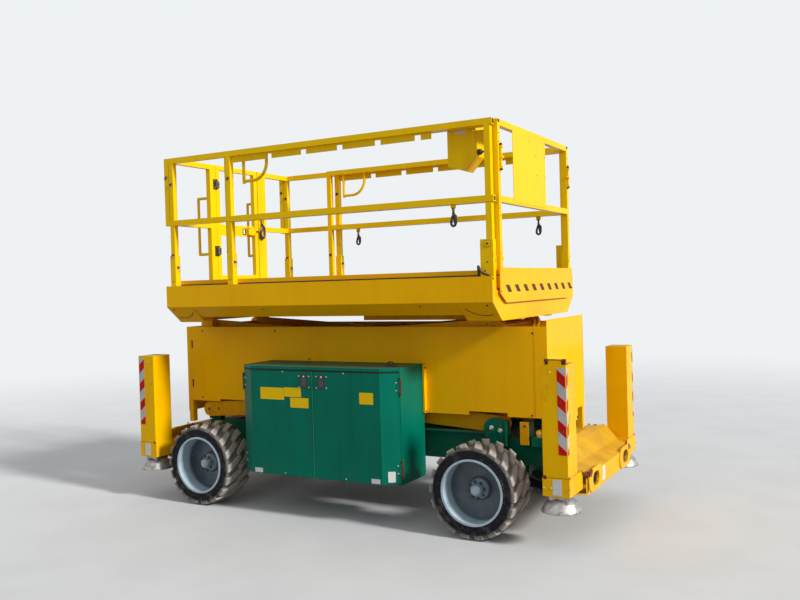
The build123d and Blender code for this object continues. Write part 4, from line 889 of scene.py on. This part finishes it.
slide_y, slide_front, slide_rear = 0.765, 1.457, -0.974
slide = Build(dark_steel)
places = ((-0.030, 2.789), (-0.010, 2.634), (0.180, 2.797), (0.185, 2.636), (-0.163, 2.879))
slide.screws([(1.460, y, z) for y, z in places], X, 0.005)
for side in BOTH:
    bolt = Vector((slide_front + 0.010, side * 0.752, 0))
    slide.use(dark_steel).screws([(slide_front, side * 0.773, z) for z in (2.860, 2.800, 2.335, 2.281)], X, 0.005)
    slide.use(rusty).face((slide_front, side * 0.762, 2.947), X, 0.036, 0.020, 0.0006, 0.003)
    slide.pin(bolt, Z, 2.600, 2.610, 0.011, 16).use(yellow_rail).pin(bolt, Z, 2.610, 2.775, 0.0085, 16)
    for z in (2.620, 2.690, 2.765):
        slide.block((slide_front, slide_front + 0.022), about(bolt.y, 0.010), about(z, 0.008))
    slide.rod(bolt + Z * 2.6895, (bolt.x, side * 0.706, 2.700), 0.006, 12)
    slide.use(rusty).dome(bolt + Z * 2.773, Z, [(0.010, 0), (0.010, 0.012), (0.006, 0.018)])
    locking_pin(slide, (slide_rear, side * slide_y, 2.135), Y, 0.020, -side)
    slide.use(yellow_rail)
    for y, z in ((0.766, 2.020), (0.744, 1.985)):
        slide.face((slide_front, side * y, z), X, 0.018, 0.022, 0.004, 0.002)
slide.make("slide_hardware", "extension")

# --- gate
gate_face, post_face, plate_face, hinge_leaf = -1.523, -1.5205, -1.539, -1.512
hinge = Vector((-1.5115, -0.290, 0))
gate, post = Build(dark_steel), Build(dark_steel)
for z in (2.175, 2.784):
    gate.use(dark_steel).pin(hinge, Z, z - 0.0295, z + 0.0295, 0.0098)
    gate.block((gate_face + 0.0002, hinge_leaf), (-0.2795, -0.252), about(z, 0.030))
    gate.use(grey_steel).screws([(hinge_leaf, -0.264, z + dz) for dz in (-0.018, 0.018)], X, 0.0045)
    for k in range(7):
        gate.lathe(hinge + Z * (z - 0.024 + k * 0.008), Z, [(0.0098, -0.0022), (0.0116, 0.0), (0.0098, 0.0022)], 20)
    post.use(dark_steel)
    for start, stop in ((-0.0458, -0.0306), (0.0306, 0.0458)):
        post.pin(hinge, Z, z + start, z + stop, 0.0098)
    post.block((post_face, hinge_leaf), (-0.3290, -0.3005), about(z, 0.046))
    post.use(grey_steel).screws([(hinge_leaf, -0.315, z + dz) for dz in (-0.034, 0.034)], X, 0.0045)
gate.use(rusty).face((plate_face, 0.118, 2.368), X, 0.056, 0.062, 0.0008, 0.003)
gate.use(white_label).face((plate_face + 0.0008, 0.113, 2.368), X, 0.026, 0.046, 0.0006, 0.002)
gate.use(yellow_rail).block((plate_face, plate_face + 0.030), (0.150, 0.254), (2.336, 2.412))
gate.use(dark_steel).pin((plate_face + 0.016, 0, 2.374), Y, 0.254, 0.3075, 0.008, 14)
gate.screws([(plate_face + 0.030, y, z) for y in (0.162, 0.242) for z in (2.346, 2.402)], X, 0.0045)
gate.make("gate_hardware", "gate", bevel=0.0008)

post.use(yellow_rail).block((post_face, post_face + 0.026), (0.317, 0.372), (2.330, 2.420))
post.use(dark_steel).screws([(post_face + 0.026, 0.345, z) for z in (2.342, 2.408)], X, 0.0045)
post.screws([(post_face, y, z) for y in (-0.329, 0.375) for z in (1.835, 1.860)], X, 0.005)
harness_hook(post, (post_face + 0.020, 0.347, 2.520), Y, X, 1.45)
post.make("gate_post_hardware", "platform", bevel=0.0006)

# --- control box
low, high = box["control_box"]
middle_x, lid_y, front_y = (low.x + high.x) / 2, high.y, high.y + 0.004
panel = Build(zinc)
for x in (low.x + 0.014, high.x - 0.014):
    for z in (high.z - 0.056, high.z - 0.025):
        panel.screw((x, low.y, z), -Y, 0.0075).screw((x, lid_y, z), Y, 0.0060)
panel.use(white_label).face((low.x + 0.105, low.y, high.z - 0.062), -Y, 0.080, 0.022, 0.0007, 0.002)
panel.use(dark_seam_and_shadow)
panel.block((low.x + 0.002, high.x - 0.002), (low.y - 0.0006, low.y), (high.z - 0.0455, high.z - 0.0440))
bracket = ((high.x, 2.900), (1.412, 2.900), (1.412, 2.730), (1.372, 2.730), (1.345, 2.760), (1.335, 2.800),
           (1.315, 2.820), (high.x, 2.820))
panel.use(yellow_rail).prism([(x, -0.740, z) for x, z in bracket], Y, 0, 0.004)
plug = Vector((high.x, -0.700, 2.752))
panel.use(cast_iron).pin(plug, X, 0, 0.016, 0.022, 24)
panel.dome(plug + X * 0.016, X, [(0.018, 0), (0.020, 0.008), (0.013, 0.016)], 20)
steps = ((0.030, 0, 0), (0.060, -0.002, -0.006), (0.085, -0.012, -0.052), (0.110, -0.030, -0.102))
panel.use(black_plastic).hose([plug + Vector(step) for step in steps] + [(1.406, -0.738, 2.640)], 0.007)
panel.face((middle_x, lid_y, 2.810), Y, 0.180, 0.190, 0.004, 0.010)
panel.use(grey_steel).face((middle_x, front_y, 2.862), Y, 0.150, 0.058, 0.0012)
stick = ((0.026, 0), (0.024, 0.008), (0.012, 0.018), (0.008, 0.03), (0.008, 0.055), (0.014, 0.062), (0.014, 0.085),
         (0.010, 0.092))
panel.use(black_plastic).dome((middle_x - 0.045, front_y, 2.790), Y, stick, 24)
stop = Vector((middle_x + 0.048, front_y, 2.785))
panel.use(yellow_label).dome(stop, Y, [(0.030, 0), (0.030, 0.003), (0.029, 0.004)], 28)
mushroom = ((0.012, 0), (0.012, 0.012), (0.021, 0.015), (0.021, 0.022), (0.015, 0.028))
panel.use(red_plastic).dome(stop + Y * 0.004, Y, mushroom, 28).use(black_plastic)
toggle = ((0.0085, 0), (0.0085, 0.004), (0.005, 0.006), (0.0035, 0.018), (0.003, 0.02))
for k in range(5):
    panel.dome((middle_x - 0.058 + k * 0.029, front_y + 0.0012, 2.862), Y, toggle)
panel.make("control_panel", "extension", bevel=0.0015)

# --- stage and light
background = (0.86, 0.885, 0.9, 1)
scene.world = bpy.data.worlds.new("studio")
sky = Graph("studio", scene.world, Color=(0.93, 0.96, 1.0, 1), Strength=0.58)
plain = sky.node("Background", {"Color": background})
shown = sky.node("MixShader", {0: sky.seen(), 1: sky.shader.outputs[0], 2: plain.outputs[0]})
sky.put(sky.nodes["World Output"].inputs[0], shown.outputs[0])

key = add("key_light", bpy.data.lights.new("key_light", "SUN"))
key.data.energy = 3.3
key.data.color = (1.0, 0.975, 0.93)
key.data.angle = 0.14
key.rotation_mode = "QUATERNION"
key.rotation_quaternion = Vector((0.87, -0.10, 0.48)).to_track_quat("Z", "Y")

floor_mesh = bpy.data.meshes.new("studio_floor")
shape = bmesh.new()
bmesh.ops.create_circle(shape, cap_ends=True, segments=96, radius=60)
shape.to_mesh(floor_mesh)
shape.free()
add("studio_floor", floor_mesh)
ground = Graph("studio_floor", Roughness=0.9)
visible = ground.seen()
pale = ground.mix(ground.patches(1.3, 4, 0.6, 0.3, 0.7), (0.60, 0.61, 0.62, 1), (0.64, 0.65, 0.66, 1))
ground.put(ground.shader.inputs["Base Color"], ground.mix(visible, (0.24, 0.23, 0.22, 1), pale))
far = ground.span(ground.vector("LENGTH", ground.place)["Value"], 4.5, 15)
glow = ground.node("Emission", {"Color": background})
blend = ground.node("MixShader", {0: ground.times(far, visible), 1: ground.shader.outputs[0], 2: glow.outputs[0]})
ground.put(ground.nodes["Material Output"].inputs[0], blend.outputs[0])
floor_mesh.materials.append(ground.material)
